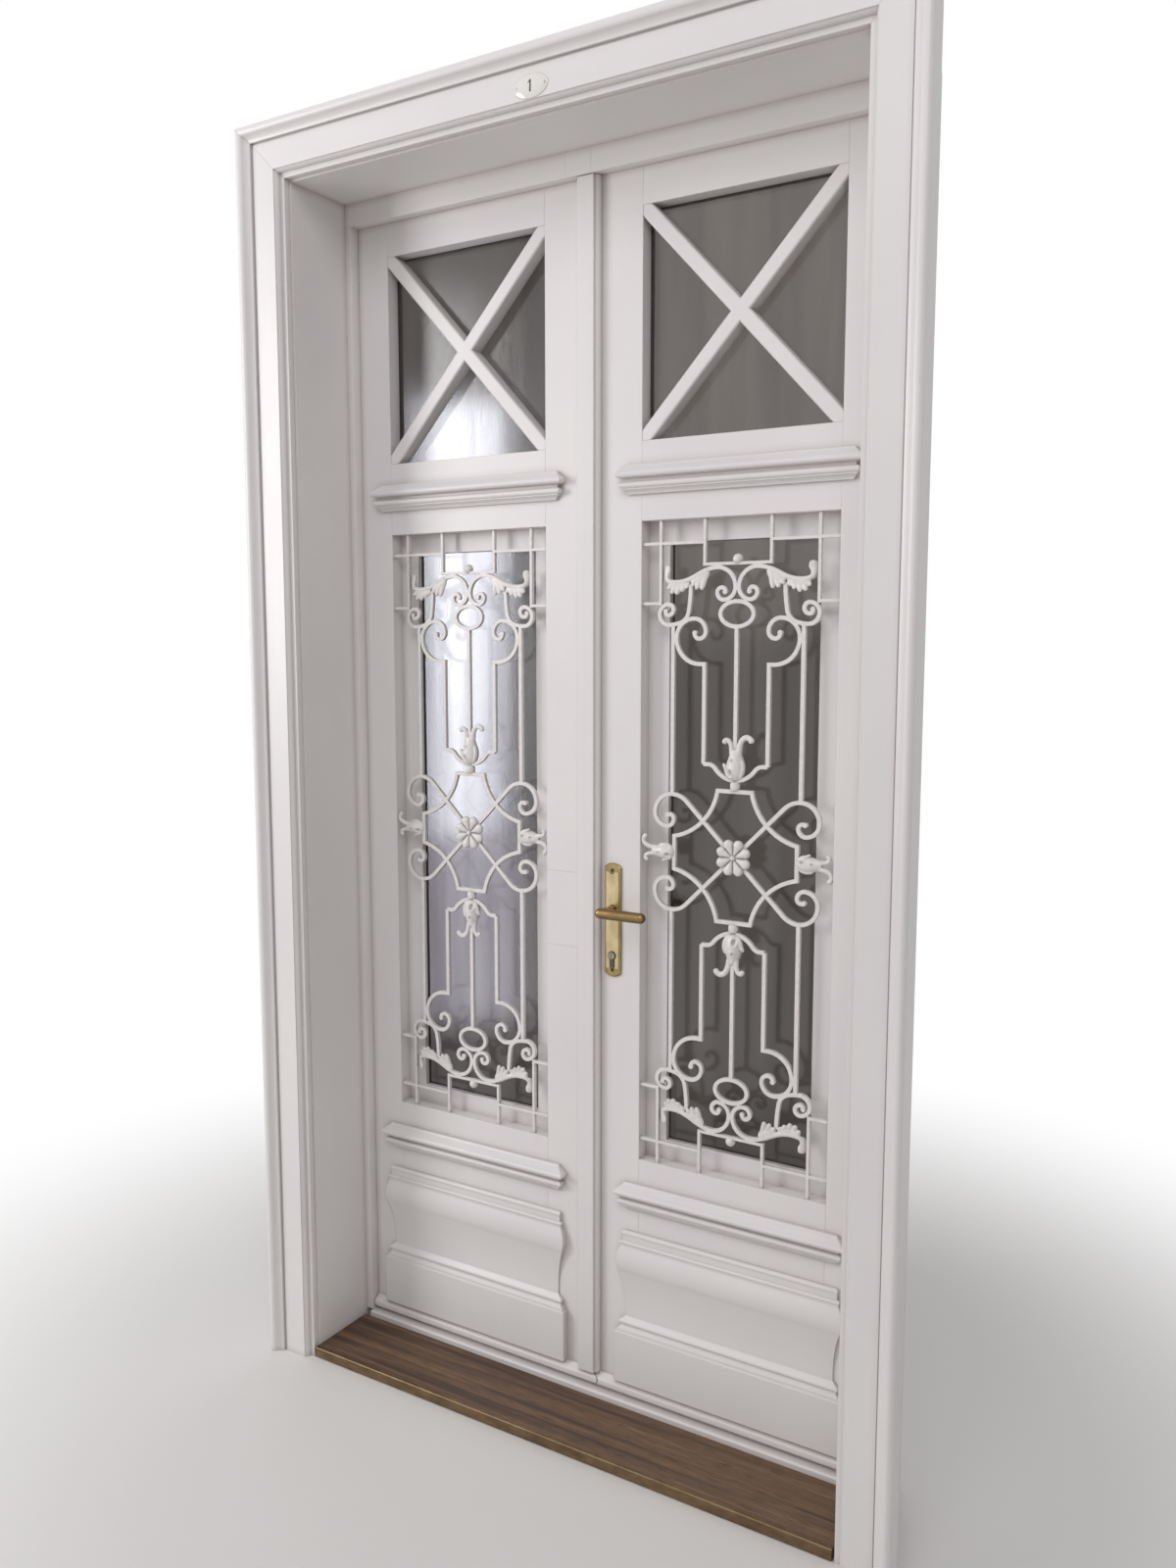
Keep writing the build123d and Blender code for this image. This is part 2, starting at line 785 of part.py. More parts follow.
def mouldings(side):
    """The two planted mouldings beside the grille and the tall serpentine one below them."""
    with BuildPart() as pair:
        top_of_profile = rail_profile[-1][-1]
        add(planted_moulding(rail_profile, grille_top + upper_moulding_above, 1.0))
        add(
            planted_moulding(rail_profile, grille_base - lower_moulding_below - top_of_profile, 1.0)
        )
        to_side(side)
    save(pair, f"{side}_rail_mouldings")
    with BuildPart() as base:
        foot = leaf_foot + weather_high + base_moulding_gap
        add(planted_moulding(base_profile, foot, base_flare))
        to_side(side)
    save(base, f"{side}_base_moulding")


def scarf(shift):
    """The slanted joint between the two weather mouldings, its normal towards the right."""
    slope = sqrt(1 + scarf_slope**2)
    return Plane(
        origin=(scarf_front + shift, -weather_deep, 0),
        x_dir=(0, 0, 1),
        z_dir=(1 / slope, scarf_slope / slope, 0),
    )


def weather_moulding(side):
    """The drip moulding along the foot of a leaf; the left one laps over the right one's end."""
    with BuildPart() as piece:
        with BuildSketch(Plane.YZ.offset(-weather_out)):
            with BuildLine():
                draw_steps(weather_profile, lambda out, up: (-out, leaf_foot + up))
                Line((0, leaf_foot + weather_high), (0, leaf_foot))
            make_face()
        extrude(amount=2 * weather_out)
        if side == "left":
            split(bisect_by=scarf(-scarf_half_gap), keep=Keep.BOTTOM)
            block(
                (-meeting_front + 1, -face_play, leaf_foot),
                (weather_out, 0, leaf_foot + weather_high),
                mode=Mode.SUBTRACT,
            )
        else:
            split(bisect_by=scarf(scarf_half_gap), keep=Keep.TOP)
            block(
                (-weather_out, -weather_deep, leaf_foot),
                (meeting_front, 0, leaf_foot + weather_high),
                mode=Mode.SUBTRACT,
            )
    save(piece, f"{side}_weather_moulding")


def astragal():
    """The cover strip on the passive leaf, moulded on the side of the active leaf."""
    foot = leaf_foot + weather_high
    with BuildPart() as piece:
        with BuildSketch(Plane.XY.offset(foot)):
            with BuildLine():
                Polyline(
                    (astragal_right, -face_play), (-meeting_front + 1, -face_play),
                    (-meeting_front + 1, 0), (-astragal_left, 0),
                    (-astragal_left, -astragal_deep + 2), (-astragal_left + 2, -astragal_deep),
                    (astragal_flat - 1, -astragal_deep), (astragal_flat, -astragal_deep + 1),
                    (astragal_flat, -astragal_deep + 5), (astragal_flat + 2, -astragal_deep + 5),
                )
                ThreePointArc(
                    (astragal_flat + 2, -astragal_deep + 5),
                    (astragal_right - 1.6, -astragal_deep + 8.5),
                    (astragal_right, -face_play - 5),
                )
                Line((astragal_right, -face_play - 5), (astragal_right, -face_play))
            make_face()
        extrude(amount=clear_top - 1 - foot)
    save(piece, "astragal")


def saltire(side):
    """Two chamfered glazing bars that cross in the upper window, one of them in two halves."""
    long_bar = sqrt(window_wide**2 + window_high**2) + 2 * saltire_width
    tilt = 90 - degrees(atan(window_wide / window_high))
    front = Plane(origin=(window_mid, rebate_face, upper_mid), x_dir=(1, 0, 0), z_dir=(0, -1, 0))
    whole = []
    for lean in (tilt, -tilt):
        with BuildPart() as one:
            with BuildSketch(front):
                Rectangle(long_bar, saltire_width, rotation=lean)
            extrude(amount=rebate_face - 0.5)
            face = one.faces().sort_by(Axis.Y)[0]
            long_edges = [e for e in face.edges() if e.length > long_bar / 2]
            chamfer(long_edges, length=saltire_chamfer)
            with BuildSketch(front):
                Rectangle(window_wide, window_high)
            extrude(amount=rebate_face, mode=Mode.INTERSECT)
        whole.append(one.part)
    with BuildPart() as piece:
        add(whole[1])
        add(whole[0], mode=Mode.SUBTRACT)
        add(whole[0])
        to_side(side)
    save(piece, f"{side}_saltire")


def ring_of_sticks(low_x, high_x, low_z, high_z, wide, tall, front, back):
    """Four sticks round an opening, the upright ones between the level ones."""
    block((low_x, front, low_z), (high_x, back, low_z + tall))
    block((low_x, front, high_z - tall), (high_x, back, high_z))
    block((low_x, front, low_z + tall), (low_x + wide, back, high_z - tall))
    block((high_x - wide, front, low_z + tall), (high_x, back, high_z - tall))


def glazing(side):
    """The panes, the sash behind the grille, and the beads that hold both panes."""
    low_x, high_x = window_in - rebate_lap, window_out + rebate_lap
    low_z, high_z = grille_base - rebate_lap, grille_top + rebate_lap
    pane_front = rebate_face + sash_nib
    pane_in = window_in + sash_side - sash_rebate
    pane_out = window_out - sash_side + sash_rebate
    pane_low = grille_base + sash_rail - sash_rebate
    pane_high = grille_top - sash_rail + sash_rebate
    sash_back = rebate_face + sash_depth
    with BuildPart() as frames:
        ring_of_sticks(
            low_x, high_x, low_z, high_z, sash_side + rebate_lap, sash_rail + rebate_lap,
            rebate_face, sash_back,
        )
        block(
            (pane_in, pane_front, pane_low), (pane_out, sash_back, pane_high), mode=Mode.SUBTRACT
        )
    with BuildPart() as beads:
        ring_of_sticks(
            pane_in, pane_out, pane_low, pane_high, sash_rebate, sash_rebate,
            pane_front + pane_thick, sash_back,
        )
        ring_of_sticks(
            low_x, high_x, window_base - rebate_lap, window_top + rebate_lap,
            rebate_lap, rebate_lap, rebate_face + pane_thick, rebate_face + pane_thick + bead_depth,
        )
        to_side(side)
    save(beads, f"{side}_glass_beads")
    with BuildPart() as sash:
        add(frames.part)
        to_side(side)
    save(sash, f"{side}_sash")
    with BuildPart() as panes:
        block((pane_in, pane_front, pane_low), (pane_out, pane_front + pane_thick, pane_high))
        block(
            (low_x, rebate_face, window_base - rebate_lap),
            (high_x, rebate_face + pane_thick, window_top + rebate_lap),
        )
        to_side(side)
    save(panes, f"{side}_panes")


# Wrought grille

def cup_arcs():
    """Turn and larger radius of the brace-shaped cup, from its drop and its half width."""
    run = post_x - cup_ledge
    drop = cup_shoulder - cup_bottom
    turn = 2 * atan(drop / run)
    return degrees(turn), run / sin(turn) - cup_round


def grille_quarter():
    """The upper right quarter of the grille's bars, as one flat outline."""
    half_wide = window_wide / 2
    turn, wide_round = cup_arcs()
    sweep_radius = (stem_x - spiral_top) / (sqrt(2) - 1)
    knee = stem_x - sweep_radius / sqrt(2)
    outer_rail_x = half_wide - outer_rail_in
    cross_high = ring_high + cross_up
    cross_low = ring_high + low_cross_up
    post_top = ring_high - post_down
    fine_lines = (
        ((outer_rail_x, grille_half), (outer_rail_x, cross_low - bar / 2)),
        ((inner_rail_x, grille_half), (inner_rail_x, tie_high), (0, tie_high)),
        ((half_wide, cross_high), (inner_rail_x, cross_high)),
        ((half_wide, cross_low), (outer_rail_x - fine_bar / 2, cross_low)),
    )
    stout_lines = (
        ((post_x + 12, post_top), (post_x, post_top), (post_x, cup_shoulder)),
        ((stem_x, ring_high - stem_down), (stem_x, spiral_top)),
        ((0, ring_high - ring_tall / 2 + 2), (0, cup_bottom + tulip_long)),
        ((0, 0), (knee, knee)),
    )
    scrolls = (
        (
            (62, ring_high + 85.5), (-0.94, 0.34),
            ((60, 20), (38, 90), (24, 90), (14, 90), (9.5, 90), (7, 100)),
        ),
        (
            (98, ring_high + 57), (0, -1),
            ((300, 10), (27, 62), (80, 18), (20.5, 90), (19.5, 90), (10.5, 180), (6.5, 100)),
        ),
        (
            (post_x + 11, post_top), (1, 0),
            ((50, 90), (38, 90), (25, 90), (14, 90), (9.5, 100)),
        ),
        ((knee, knee), (1, 1), ((sweep_radius, -45), (38, -90), (27, -90), (15, -90), (9, -120))),
    )
    with BuildSketch() as quarter:
        for lines, width in ((fine_lines, fine_bar), (stout_lines, bar)):
            for points in lines:
                with BuildLine():
                    Polyline(*points)
                trace(line_width=width)
        for start, heading, turns in scrolls:
            with BuildLine():
                end = scroll(start, heading, turns)
            trace(line_width=bar)
            with Locations(end):
                Circle(bar * 0.62)
        with BuildLine():
            Line((post_x, cup_shoulder), (post_x - cup_ledge, cup_shoulder))
            scroll(
                (post_x - cup_ledge, cup_shoulder), (-1, 0),
                ((cup_round, turn), (wide_round, -turn)),
            )
        trace(line_width=bar)
        with BuildLine():
            Line((0, medallion_top), (medallion_top_half, medallion_top))
            ThreePointArc(
                (medallion_top_half, medallion_top), (medallion_waist, medallion_waist),
                (medallion_side, medallion_side_half),
            )
            Line((medallion_side, medallion_side_half), (medallion_side, 0))
        trace(line_width=bar)
    return quarter.sketch


def tulip_body(face, grow):
    """A bud with two curled petals, growing along the plane's y axis from its origin."""
    wide, long = tulip_wide * grow, tulip_long * grow
    reach, tip = petal_reach * grow, petal_long * grow
    with BuildPart() as bud:
        with BuildSketch(face):
            with BuildLine():
                Polyline(
                    (0, 0), (wide * 0.28, 0), (wide * 0.43, long * 0.14), (wide * 0.5, long * 0.34),
                    (wide * 0.45, long * 0.54), (wide * 0.32, long * 0.76), (wide * 0.2, long),
                    (0, long), close=True,
                )
            make_face()
        revolve(axis=Axis(face.origin, face.y_dir))
    with BuildPart() as petals:
        with BuildSketch(face.offset(-bar_deep / 3)):
            for hand in (1, -1):
                with BuildLine():
                    ThreePointArc(
                        (hand * wide * 0.14, long * 0.7),
                        (hand * wide * 0.24, long * 1.1),
                        (hand * wide * 0.5, tip - 6),
                    )
                    ThreePointArc(
                        (hand * wide * 0.5, tip - 6),
                        (hand * reach * 0.8, tip - 3),
                        (hand * reach, tip - 11),
                    )
                trace(line_width=petal_thick)
        extrude(amount=bar_deep * 2 / 3)
    return bud.part + petals.part


def rosette():
    """Drop-shaped petals with sloping sides round a small boss, flat on the crossing bars."""
    back = Plane(
        origin=(window_mid, grille_front, grille_mid), x_dir=(1, 0, 0), z_dir=(0, -1, 0)
    )
    head = petal_outer - petal_half
    slope = sqrt(head**2 - petal_half**2) / head
    with BuildPart() as petal:
        for rise, inset in ((0, 0), (petal_rise / 2, petal_slope / 4), (petal_rise, petal_slope)):
            half = petal_half - inset
            tall = half * slope
            far = head - half * sqrt(1 - slope**2)
            near = petal_inner + inset
            narrow = near * petal_half / head * (half / petal_half)
            with BuildSketch(Plane.XY.offset(rise)):
                with BuildLine():
                    Line((near, -narrow), (far, -tall))
                    ThreePointArc((far, -tall), (head + half, 0), (far, tall))
                    Line((far, tall), (near, narrow))
                    Line((near, narrow), (near, -narrow))
                make_face()
        loft(ruled=True)
    with BuildPart() as flower:
        with Locations(back):
            with PolarLocations(0, rosette_petals, start_angle=180 / rosette_petals):
                add(petal.part)
            with Locations((0, 0, boss_rise)):
                Sphere(boss_radius)
        split(bisect_by=back, keep=Keep.TOP)
    return flower.part


def acanthus_outline():
    """The lobed leaf that wraps the head of the upper scroll, out to its curled tip."""
    face = grille_plane.shift_origin(grille_plane.from_local_coords((0, ring_high, 0)))
    with BuildSketch(face) as leaf:
        with BuildLine():
            Spline(
                (63.4, 89.3), (80, 81), (97, 71.5), (120, 64), (135, 69),
                tangents=((0.94, -0.34), (0.5, 0.86)),
            )
            ThreePointArc((135, 69), (139, 90), (154, 80))
            ThreePointArc((154, 80), (156, 63), (147, 49))
            ThreePointArc((147, 49), (139, 42), (132, 47))
            ThreePointArc((132, 47), (124, 38), (115, 45))
            ThreePointArc((115, 45), (109, 42), (105, 49))
            ThreePointArc((105, 49), (98, 45), (91, 51))
            ThreePointArc((91, 51), (83, 41), (74, 47))
            ThreePointArc((74, 47), (67, 42), (62, 51))
            ThreePointArc((62, 51), (63, 67), (60.6, 81.7))
            Line((60.6, 81.7), (63.4, 89.3))
        make_face()
    return leaf.sketch


def grille(side):
    """The whole wrought grille and, apart from it, its cast leaves and flowers."""
    centre = (window_mid, grille_front + bar_deep / 2, grille_mid)
    with BuildPart() as bars:
        with BuildSketch(grille_plane):
            add(grille_quarter())
            mirror(about=Plane.YZ)
            mirror(about=Plane.XZ)
            with Locations((0, ring_high), (0, -ring_high)):
                Ellipse(ring_wide / 2, ring_tall / 2)
                Ellipse(ring_wide / 2 - bar, ring_tall / 2 - bar, mode=Mode.SUBTRACT)
        extrude(amount=bar_deep)
        collar_base = medallion_top + bar / 2 - 1
        collar_tall = cup_bottom - medallion_top - bar + 2
        for hand in (1, -1):
            with Locations((centre[0], centre[1], grille_mid + hand * (tie_high + ball_radius - ball_sink))):
                Sphere(ball_radius)
            with Locations(
                (centre[0], centre[1], grille_mid + hand * (collar_base + collar_tall / 2))
            ):
                Cylinder(collar_radius, collar_tall)
        to_side(side)
    save(bars, f"{side}_grille")

    flower_seats = (
        ((0, cup_bottom), (0, 1), 1.0),
        ((0, -cup_bottom), (0, -1), 1.0),
        ((medallion_side, 0), (1, 0), side_tulip),
        ((-medallion_side, 0), (-1, 0), side_tulip),
    )
    with BuildPart() as ornaments:
        extrude(acanthus_outline(), amount=bar_deep)
        mirror(about=Plane.YZ.offset(window_mid))
        mirror(about=Plane.XY.offset(grille_mid))
        for (x, z), (dx, dz), grow in flower_seats:
            face = Plane(
                origin=(centre[0] + x, centre[1], grille_mid + z),
                x_dir=(dz, 0, -dx), z_dir=(0, -1, 0),
            )
            add(tulip_body(face, grow))
        add(rosette())
        to_side(side)
        add(bars.part, mode=Mode.SUBTRACT)
    save(ornaments, f"{side}_grille_ornaments")


# Lock of the active leaf

def lock_case():
    """The mortise lock's case and forend, with the channels that its bolts slide in."""
    seat = edge_at(leaf_middle) + forend_sink
    with BuildPart() as piece:
        block(
            (seat, leaf_middle - forend_wide / 2, forend_low),
            (seat + forend_thick, leaf_middle + forend_wide / 2, forend_high),
        )
        block(
            (seat + forend_thick, leaf_middle - lock_deep / 2, case_low),
            (case_back, leaf_middle + lock_deep / 2, case_high),
        )
        for z, high, length in ((latch_z, latch_high, latch_long), (dead_z, dead_high, dead_long)):
            half = bolt_deep / 2 + bolt_play
            block(
                (0, leaf_middle - half, z - high / 2 - bolt_play),
                (seat + length + bolt_play, leaf_middle + half, z + high / 2 + bolt_play),
                mode=Mode.SUBTRACT,
            )
        with Locations((lock_x, leaf_middle, spindle_z)):
            Cylinder(spindle_bore, 2 * lock_deep, rotation=(90, 0, 0), mode=Mode.SUBTRACT)
        extrude(cylinder_section(0.1), amount=leaf_thickness, both=True, mode=Mode.SUBTRACT)
    save(piece, "lock_case")


def lock_bolts():
    """The sprung latch with its bevelled nose and the square dead bolt, both drawn back."""
    seat = edge_at(leaf_middle) + forend_sink
    with BuildPart() as latch:
        block(
            (seat, leaf_middle - bolt_deep / 2, latch_z - latch_high / 2),
            (seat + latch_long, leaf_middle + bolt_deep / 2, latch_z + latch_high / 2),
        )
        nose = latch.faces().sort_by(Axis.X)[0].edges().sort_by(Axis.Y)[-1]
        chamfer(nose, length=bolt_deep * 0.8)
    save(latch, "latch_bolt")
    with BuildPart() as dead:
        block(
            (seat, leaf_middle - bolt_deep / 2, dead_z - dead_high / 2),
            (seat + dead_long, leaf_middle + bolt_deep / 2, dead_z + dead_high / 2),
        )
    save(dead, "dead_bolt")


def backplate(name, outside):
    """A long plate with arched ends and two sunk screws, holed for lever and cylinder."""
    base = -backplate_thick if outside else leaf_thickness + backplate_thick
    toward = Vector(0, -1, 0) if outside else Vector(0, 1, 0)
    start = 0 if outside else leaf_thickness
    face = Plane(
        origin=(lock_x, start, (backplate_low + backplate_high) / 2),
        x_dir=(1, 0, 0), z_dir=toward,
    )
    long_half = (backplate_high - backplate_low) / 2
    wide_half = backplate_wide / 2
    arch = backplate_arch
    with BuildPart() as piece:
        with BuildSketch(face):
            with BuildLine():
                Line((-wide_half, -long_half + arch), (-wide_half, long_half - arch))
                ThreePointArc(
                    (-wide_half, long_half - arch), (0, long_half), (wide_half, long_half - arch)
                )
                Line((wide_half, long_half - arch), (wide_half, -long_half + arch))
                ThreePointArc(
                    (wide_half, -long_half + arch), (0, -long_half), (-wide_half, -long_half + arch)
                )
            make_face()
        extrude(amount=backplate_thick)
        rim = piece.faces().sort_by(Axis.Y)[0 if outside else -1].edges()
        chamfer(rim, length=backplate_thick * 0.4)
        with Locations((lock_x, leaf_middle, spindle_z)):
            Cylinder(
                neck_radius + neck_play, 3 * leaf_thickness, rotation=(90, 0, 0),
                mode=Mode.SUBTRACT,
            )
        extrude(cylinder_section(0.1), amount=2 * leaf_thickness, both=True, mode=Mode.SUBTRACT)
        for z in (backplate_low + screw_inset, backplate_high - screw_inset):
            seat = Plane(origin=(lock_x, base, z), x_dir=(1, 0, 0), z_dir=toward)
            with BuildSketch(seat):
                Circle(screw_radius)
            extrude(amount=-screw_sunk, mode=Mode.SUBTRACT)
    save(piece, name)


def lever(outside):
    """A round lever on its neck; the outer one carries the square spindle."""
    start = 0.0 if outside else leaf_thickness
    toward = -1 if outside else 1
    end = start + toward * (backplate_thick + neck_long)
    with BuildPart() as piece:
        with BuildSketch(
            Plane(origin=(lock_x, start, spindle_z), x_dir=(1, 0, 0), z_dir=(0, toward, 0))
        ):
            Circle(neck_radius)
        extrude(amount=backplate_thick + neck_long)
        with BuildSketch(Plane.YZ.offset(lock_x)):
            with Locations((end, spindle_z)):
                Circle(lever_radius)
        extrude(amount=lever_long)
        with Locations((lock_x, end, spindle_z), (lock_x + lever_long, end, spindle_z)):
            Sphere(lever_radius)
        if outside:
            block(
                (lock_x - spindle_side / 2, 0, spindle_z - spindle_side / 2),
                (lock_x + spindle_side / 2, leaf_thickness, spindle_z + spindle_side / 2),
            )
    return piece.part


def levers():
    """The two levers and their spindle, which turn as one."""
    with BuildPart() as piece:
        add(lever(True))
        add(lever(False))
    save(piece, "levers")


def cylinder():
    """The profile cylinder through the leaf and the plug that the key turns."""
    back = leaf_thickness + backplate_thick + cylinder_proud
    front = -backplate_thick - cylinder_proud
    with BuildPart() as body:
        extrude(
            cylinder_section(0).moved(Location((0, back, 0))), amount=back - front
        )
        with Locations((lock_x, leaf_middle, cylinder_z)):
            Cylinder(
                plug_radius + plug_play, 3 * leaf_thickness, rotation=(90, 0, 0),
                mode=Mode.SUBTRACT,
            )
    save(body, "lock_cylinder")
    with BuildPart() as plug:
        with BuildSketch(
            Plane(origin=(lock_x, back, cylinder_z), x_dir=(1, 0, 0), z_dir=(0, -1, 0))
        ):
            Circle(plug_radius)
        extrude(amount=back - front + 0.5)
        for y in (front - 0.5, back):
            block(
                (lock_x - key_wide / 2, y - 12, cylinder_z - key_high / 2),
                (lock_x + key_wide / 2, y + 12, cylinder_z + key_high / 2),
                mode=Mode.SUBTRACT,
            )
    save(plug, "cylinder_plug")


def flush_bolts():
    """The rods, with finger tabs, that hold the passive leaf at its head and foot."""
    top_end = leaf_top - flush_inset
    low_end = leaf_foot + flush_inset
    for name, low, tab in (
        ("top_flush_bolt", top_end - flush_long, top_end - flush_tab_from_end),
        ("bottom_flush_bolt", low_end, low_end + flush_tab_from_end - flush_tab),
    ):
        with BuildPart() as piece:
            with BuildSketch(Plane.XY.offset(low)):
                with Locations((-flush_x, leaf_middle)):
                    Circle(flush_radius)
            extrude(amount=flush_long)
            block(
                (-flush_x, leaf_middle - flush_tab_wide / 2, tab),
                (-edge_at(leaf_middle) - 1, leaf_middle + flush_tab_wide / 2, tab + flush_tab),
            )
        save(piece, name)


for side in ("left", "right"):
    jamb(side)
    lining(side)
    casing(side)
    hinge_halves(side)
    hinge_stile(side)
    rails(side)
    mouldings(side)
    weather_moulding(side)
    saltire(side)
    glazing(side)
    grille(side)
frame_head()
sill()
bolt_keeps()
lining_head()
casing_head()
threshold()
number_plate()
right_meeting_stile()
left_meeting_stile()
strike_plate()
astragal()
lock_case()
lock_bolts()
backplate("backplate_outer", True)
backplate("backplate_inner", False)
levers()
cylinder()
flush_bolts()
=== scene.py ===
import math

import bpy
import numpy as np
from mathutils import Euler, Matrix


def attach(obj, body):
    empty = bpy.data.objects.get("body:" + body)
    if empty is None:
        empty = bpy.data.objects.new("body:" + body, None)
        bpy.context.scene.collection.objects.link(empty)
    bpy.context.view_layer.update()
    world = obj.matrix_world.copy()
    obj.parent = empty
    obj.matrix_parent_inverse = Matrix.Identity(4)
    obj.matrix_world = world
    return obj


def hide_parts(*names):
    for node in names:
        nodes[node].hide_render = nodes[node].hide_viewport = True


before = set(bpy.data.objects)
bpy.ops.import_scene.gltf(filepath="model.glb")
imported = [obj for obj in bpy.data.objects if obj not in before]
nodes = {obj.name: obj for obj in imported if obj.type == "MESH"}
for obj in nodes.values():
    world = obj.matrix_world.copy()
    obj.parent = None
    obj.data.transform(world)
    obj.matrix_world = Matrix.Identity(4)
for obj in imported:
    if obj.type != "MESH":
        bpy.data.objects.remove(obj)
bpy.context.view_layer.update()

# Camera: eye point in metres; turned left of straight ahead and down, in radians
EYE = (1.326, -2.193, 1.635)
TURN_LEFT = 0.5475
TILT_DOWN = 0.1124
LENS_MM = 28.7
SENSOR_MM = 36.0

MM = 0.001


# Colours and nodes

def linear(code):
    """An sRGB hex colour as linear RGBA."""
    channels = [int(code[i:i + 2], 16) / 255 for i in (1, 3, 5)]
    return [c / 12.92 if c <= 0.04045 else ((c + 0.055) / 1.055) ** 2.4 for c in channels] + [1.0]


def add(tree, kind, inputs=None, out=0, stops=(), **settings):
    """Add a shader node and give back its output. Inputs maps a socket to a value, a hex
    colour or the output that feeds it; stops are a ramp's positions and hex colours."""
    node = tree.nodes.new("ShaderNode" + kind)
    for name, value in settings.items():
        setattr(node, name, value)
    for index, (position, code) in enumerate(stops):
        ramp = node.color_ramp.elements
        stop = ramp[index] if index < len(ramp) else ramp.new(position)
        stop.position, stop.color = position, linear(code)
    for name, value in (inputs or {}).items():
        if isinstance(value, bpy.types.NodeSocket):
            tree.links.new(value, node.inputs[name])
        else:
            node.inputs[name].default_value = linear(value) if isinstance(value, str) else value
    return node.outputs[out] if node.outputs else node


def new_material(name):
    """An empty node material, and the coordinates of its piece."""
    material = bpy.data.materials.new(name)
    material.use_nodes = True
    tree = material.node_tree
    tree.nodes.clear()
    return material, tree, add(tree, "TexCoord", out="Object")


def grain(tree, place, spacing_mm, along, stretch):
    """Noise that repeats about every spacing_mm and is drawn out along one axis."""
    scale = [1.0, 1.0, 1.0]
    scale["XYZ".index(along)] = 1.0 / stretch
    drawn = add(tree, "Mapping", {"Vector": place, "Scale": scale})
    return add(tree, "TexNoise", {
        "Vector": drawn, "Scale": 1 / (spacing_mm * MM), "Detail": 3.0, "Roughness": 0.55,
    })


# Materials

def satin_alkyd_paint(name, along):
    """Alkyd paint brushed on planed wood. Furrows of the brush run along the member, the
    sheen is soft and a little uneven, arrises are rounded by the paint and painted shade
    greys the inner corners. Furrows are 1 mm apart in truth and are drawn at 2.4 mm to show."""
    material, tree, place = new_material(name)
    furrows = grain(tree, place, 2.4, along, 40)
    pulls = grain(tree, place, 11, along, 14)
    cloud = grain(tree, place, 280, along, 2)
    tone = add(tree, "ValToRGB", {"Fac": cloud}, stops=((0.3, "#dedad9"), (0.7, "#e4e1df")))
    # painted shade: ambient occlusion greys the colour in the inner corners
    corner = add(tree, "AmbientOcclusion", {"Distance": 16 * MM}, out="AO", samples=2)
    painted_corner_shade = add(tree, "MapRange", {"Value": corner, "From Min": 0.4, "From Max": 0.95})
    colour = add(tree, "Mix", {0: painted_corner_shade, 6: "#c6bfbc", 7: tone}, out=2, data_type="RGBA")
    soft = add(tree, "Bevel", {"Radius": 2.4 * MM}, samples=6)
    relief = add(tree, "Bump", {
        "Height": pulls, "Distance": 0.10 * MM, "Strength": 1.0, "Normal": soft,
    })
    relief = add(tree, "Bump", {
        "Height": furrows, "Distance": 0.04 * MM, "Strength": 1.0, "Normal": relief,
    })
    sheen = add(tree, "MapRange", {"Value": pulls, "To Min": 0.30, "To Max": 0.42})
    add(tree, "OutputMaterial", {"Surface": add(tree, "BsdfPrincipled", {
        "Base Color": colour, "Roughness": sheen, "Normal": relief, "IOR": 1.48,
    })})
    return material


def painted_wrought_iron(name):
    """Wrought and cast iron under many coats of the same paint: edges drowned in paint, a
    hammered unevenness of about 8 mm that makes the gloss waver, a fine orange peel at
    1.8 mm, and painted shade that greys it where a scroll meets a bar."""
    material, tree, place = new_material(name)
    lumps = grain(tree, place, 8, "Z", 1)
    skin = grain(tree, place, 1.8, "Z", 1)
    tone = add(tree, "ValToRGB", {"Fac": lumps}, stops=((0.3, "#dbd7d5"), (0.7, "#e6e3e1")))
    # painted shade: ambient occlusion greys the colour where scroll and bar meet
    corner = add(tree, "AmbientOcclusion", {"Distance": 8 * MM}, out="AO", samples=2)
    painted_corner_shade = add(tree, "MapRange", {"Value": corner, "From Min": 0.3, "From Max": 0.9})
    colour = add(tree, "Mix", {0: painted_corner_shade, 6: "#b0a9a4", 7: tone}, out=2, data_type="RGBA")
    soft = add(tree, "Bevel", {"Radius": 1.8 * MM}, samples=4)
    relief = add(tree, "Bump", {
        "Height": lumps, "Distance": 0.35 * MM, "Strength": 1.0, "Normal": soft,
    })
    relief = add(tree, "Bump", {
        "Height": skin, "Distance": 0.06 * MM, "Strength": 1.0, "Normal": relief,
    })
    sheen = add(tree, "MapRange", {"Value": lumps, "To Min": 0.26, "To Max": 0.38})
    add(tree, "OutputMaterial", {"Surface": add(tree, "BsdfPrincipled", {
        "Base Color": colour, "Roughness": sheen, "Normal": relief, "IOR": 1.48,
    })})
    return material


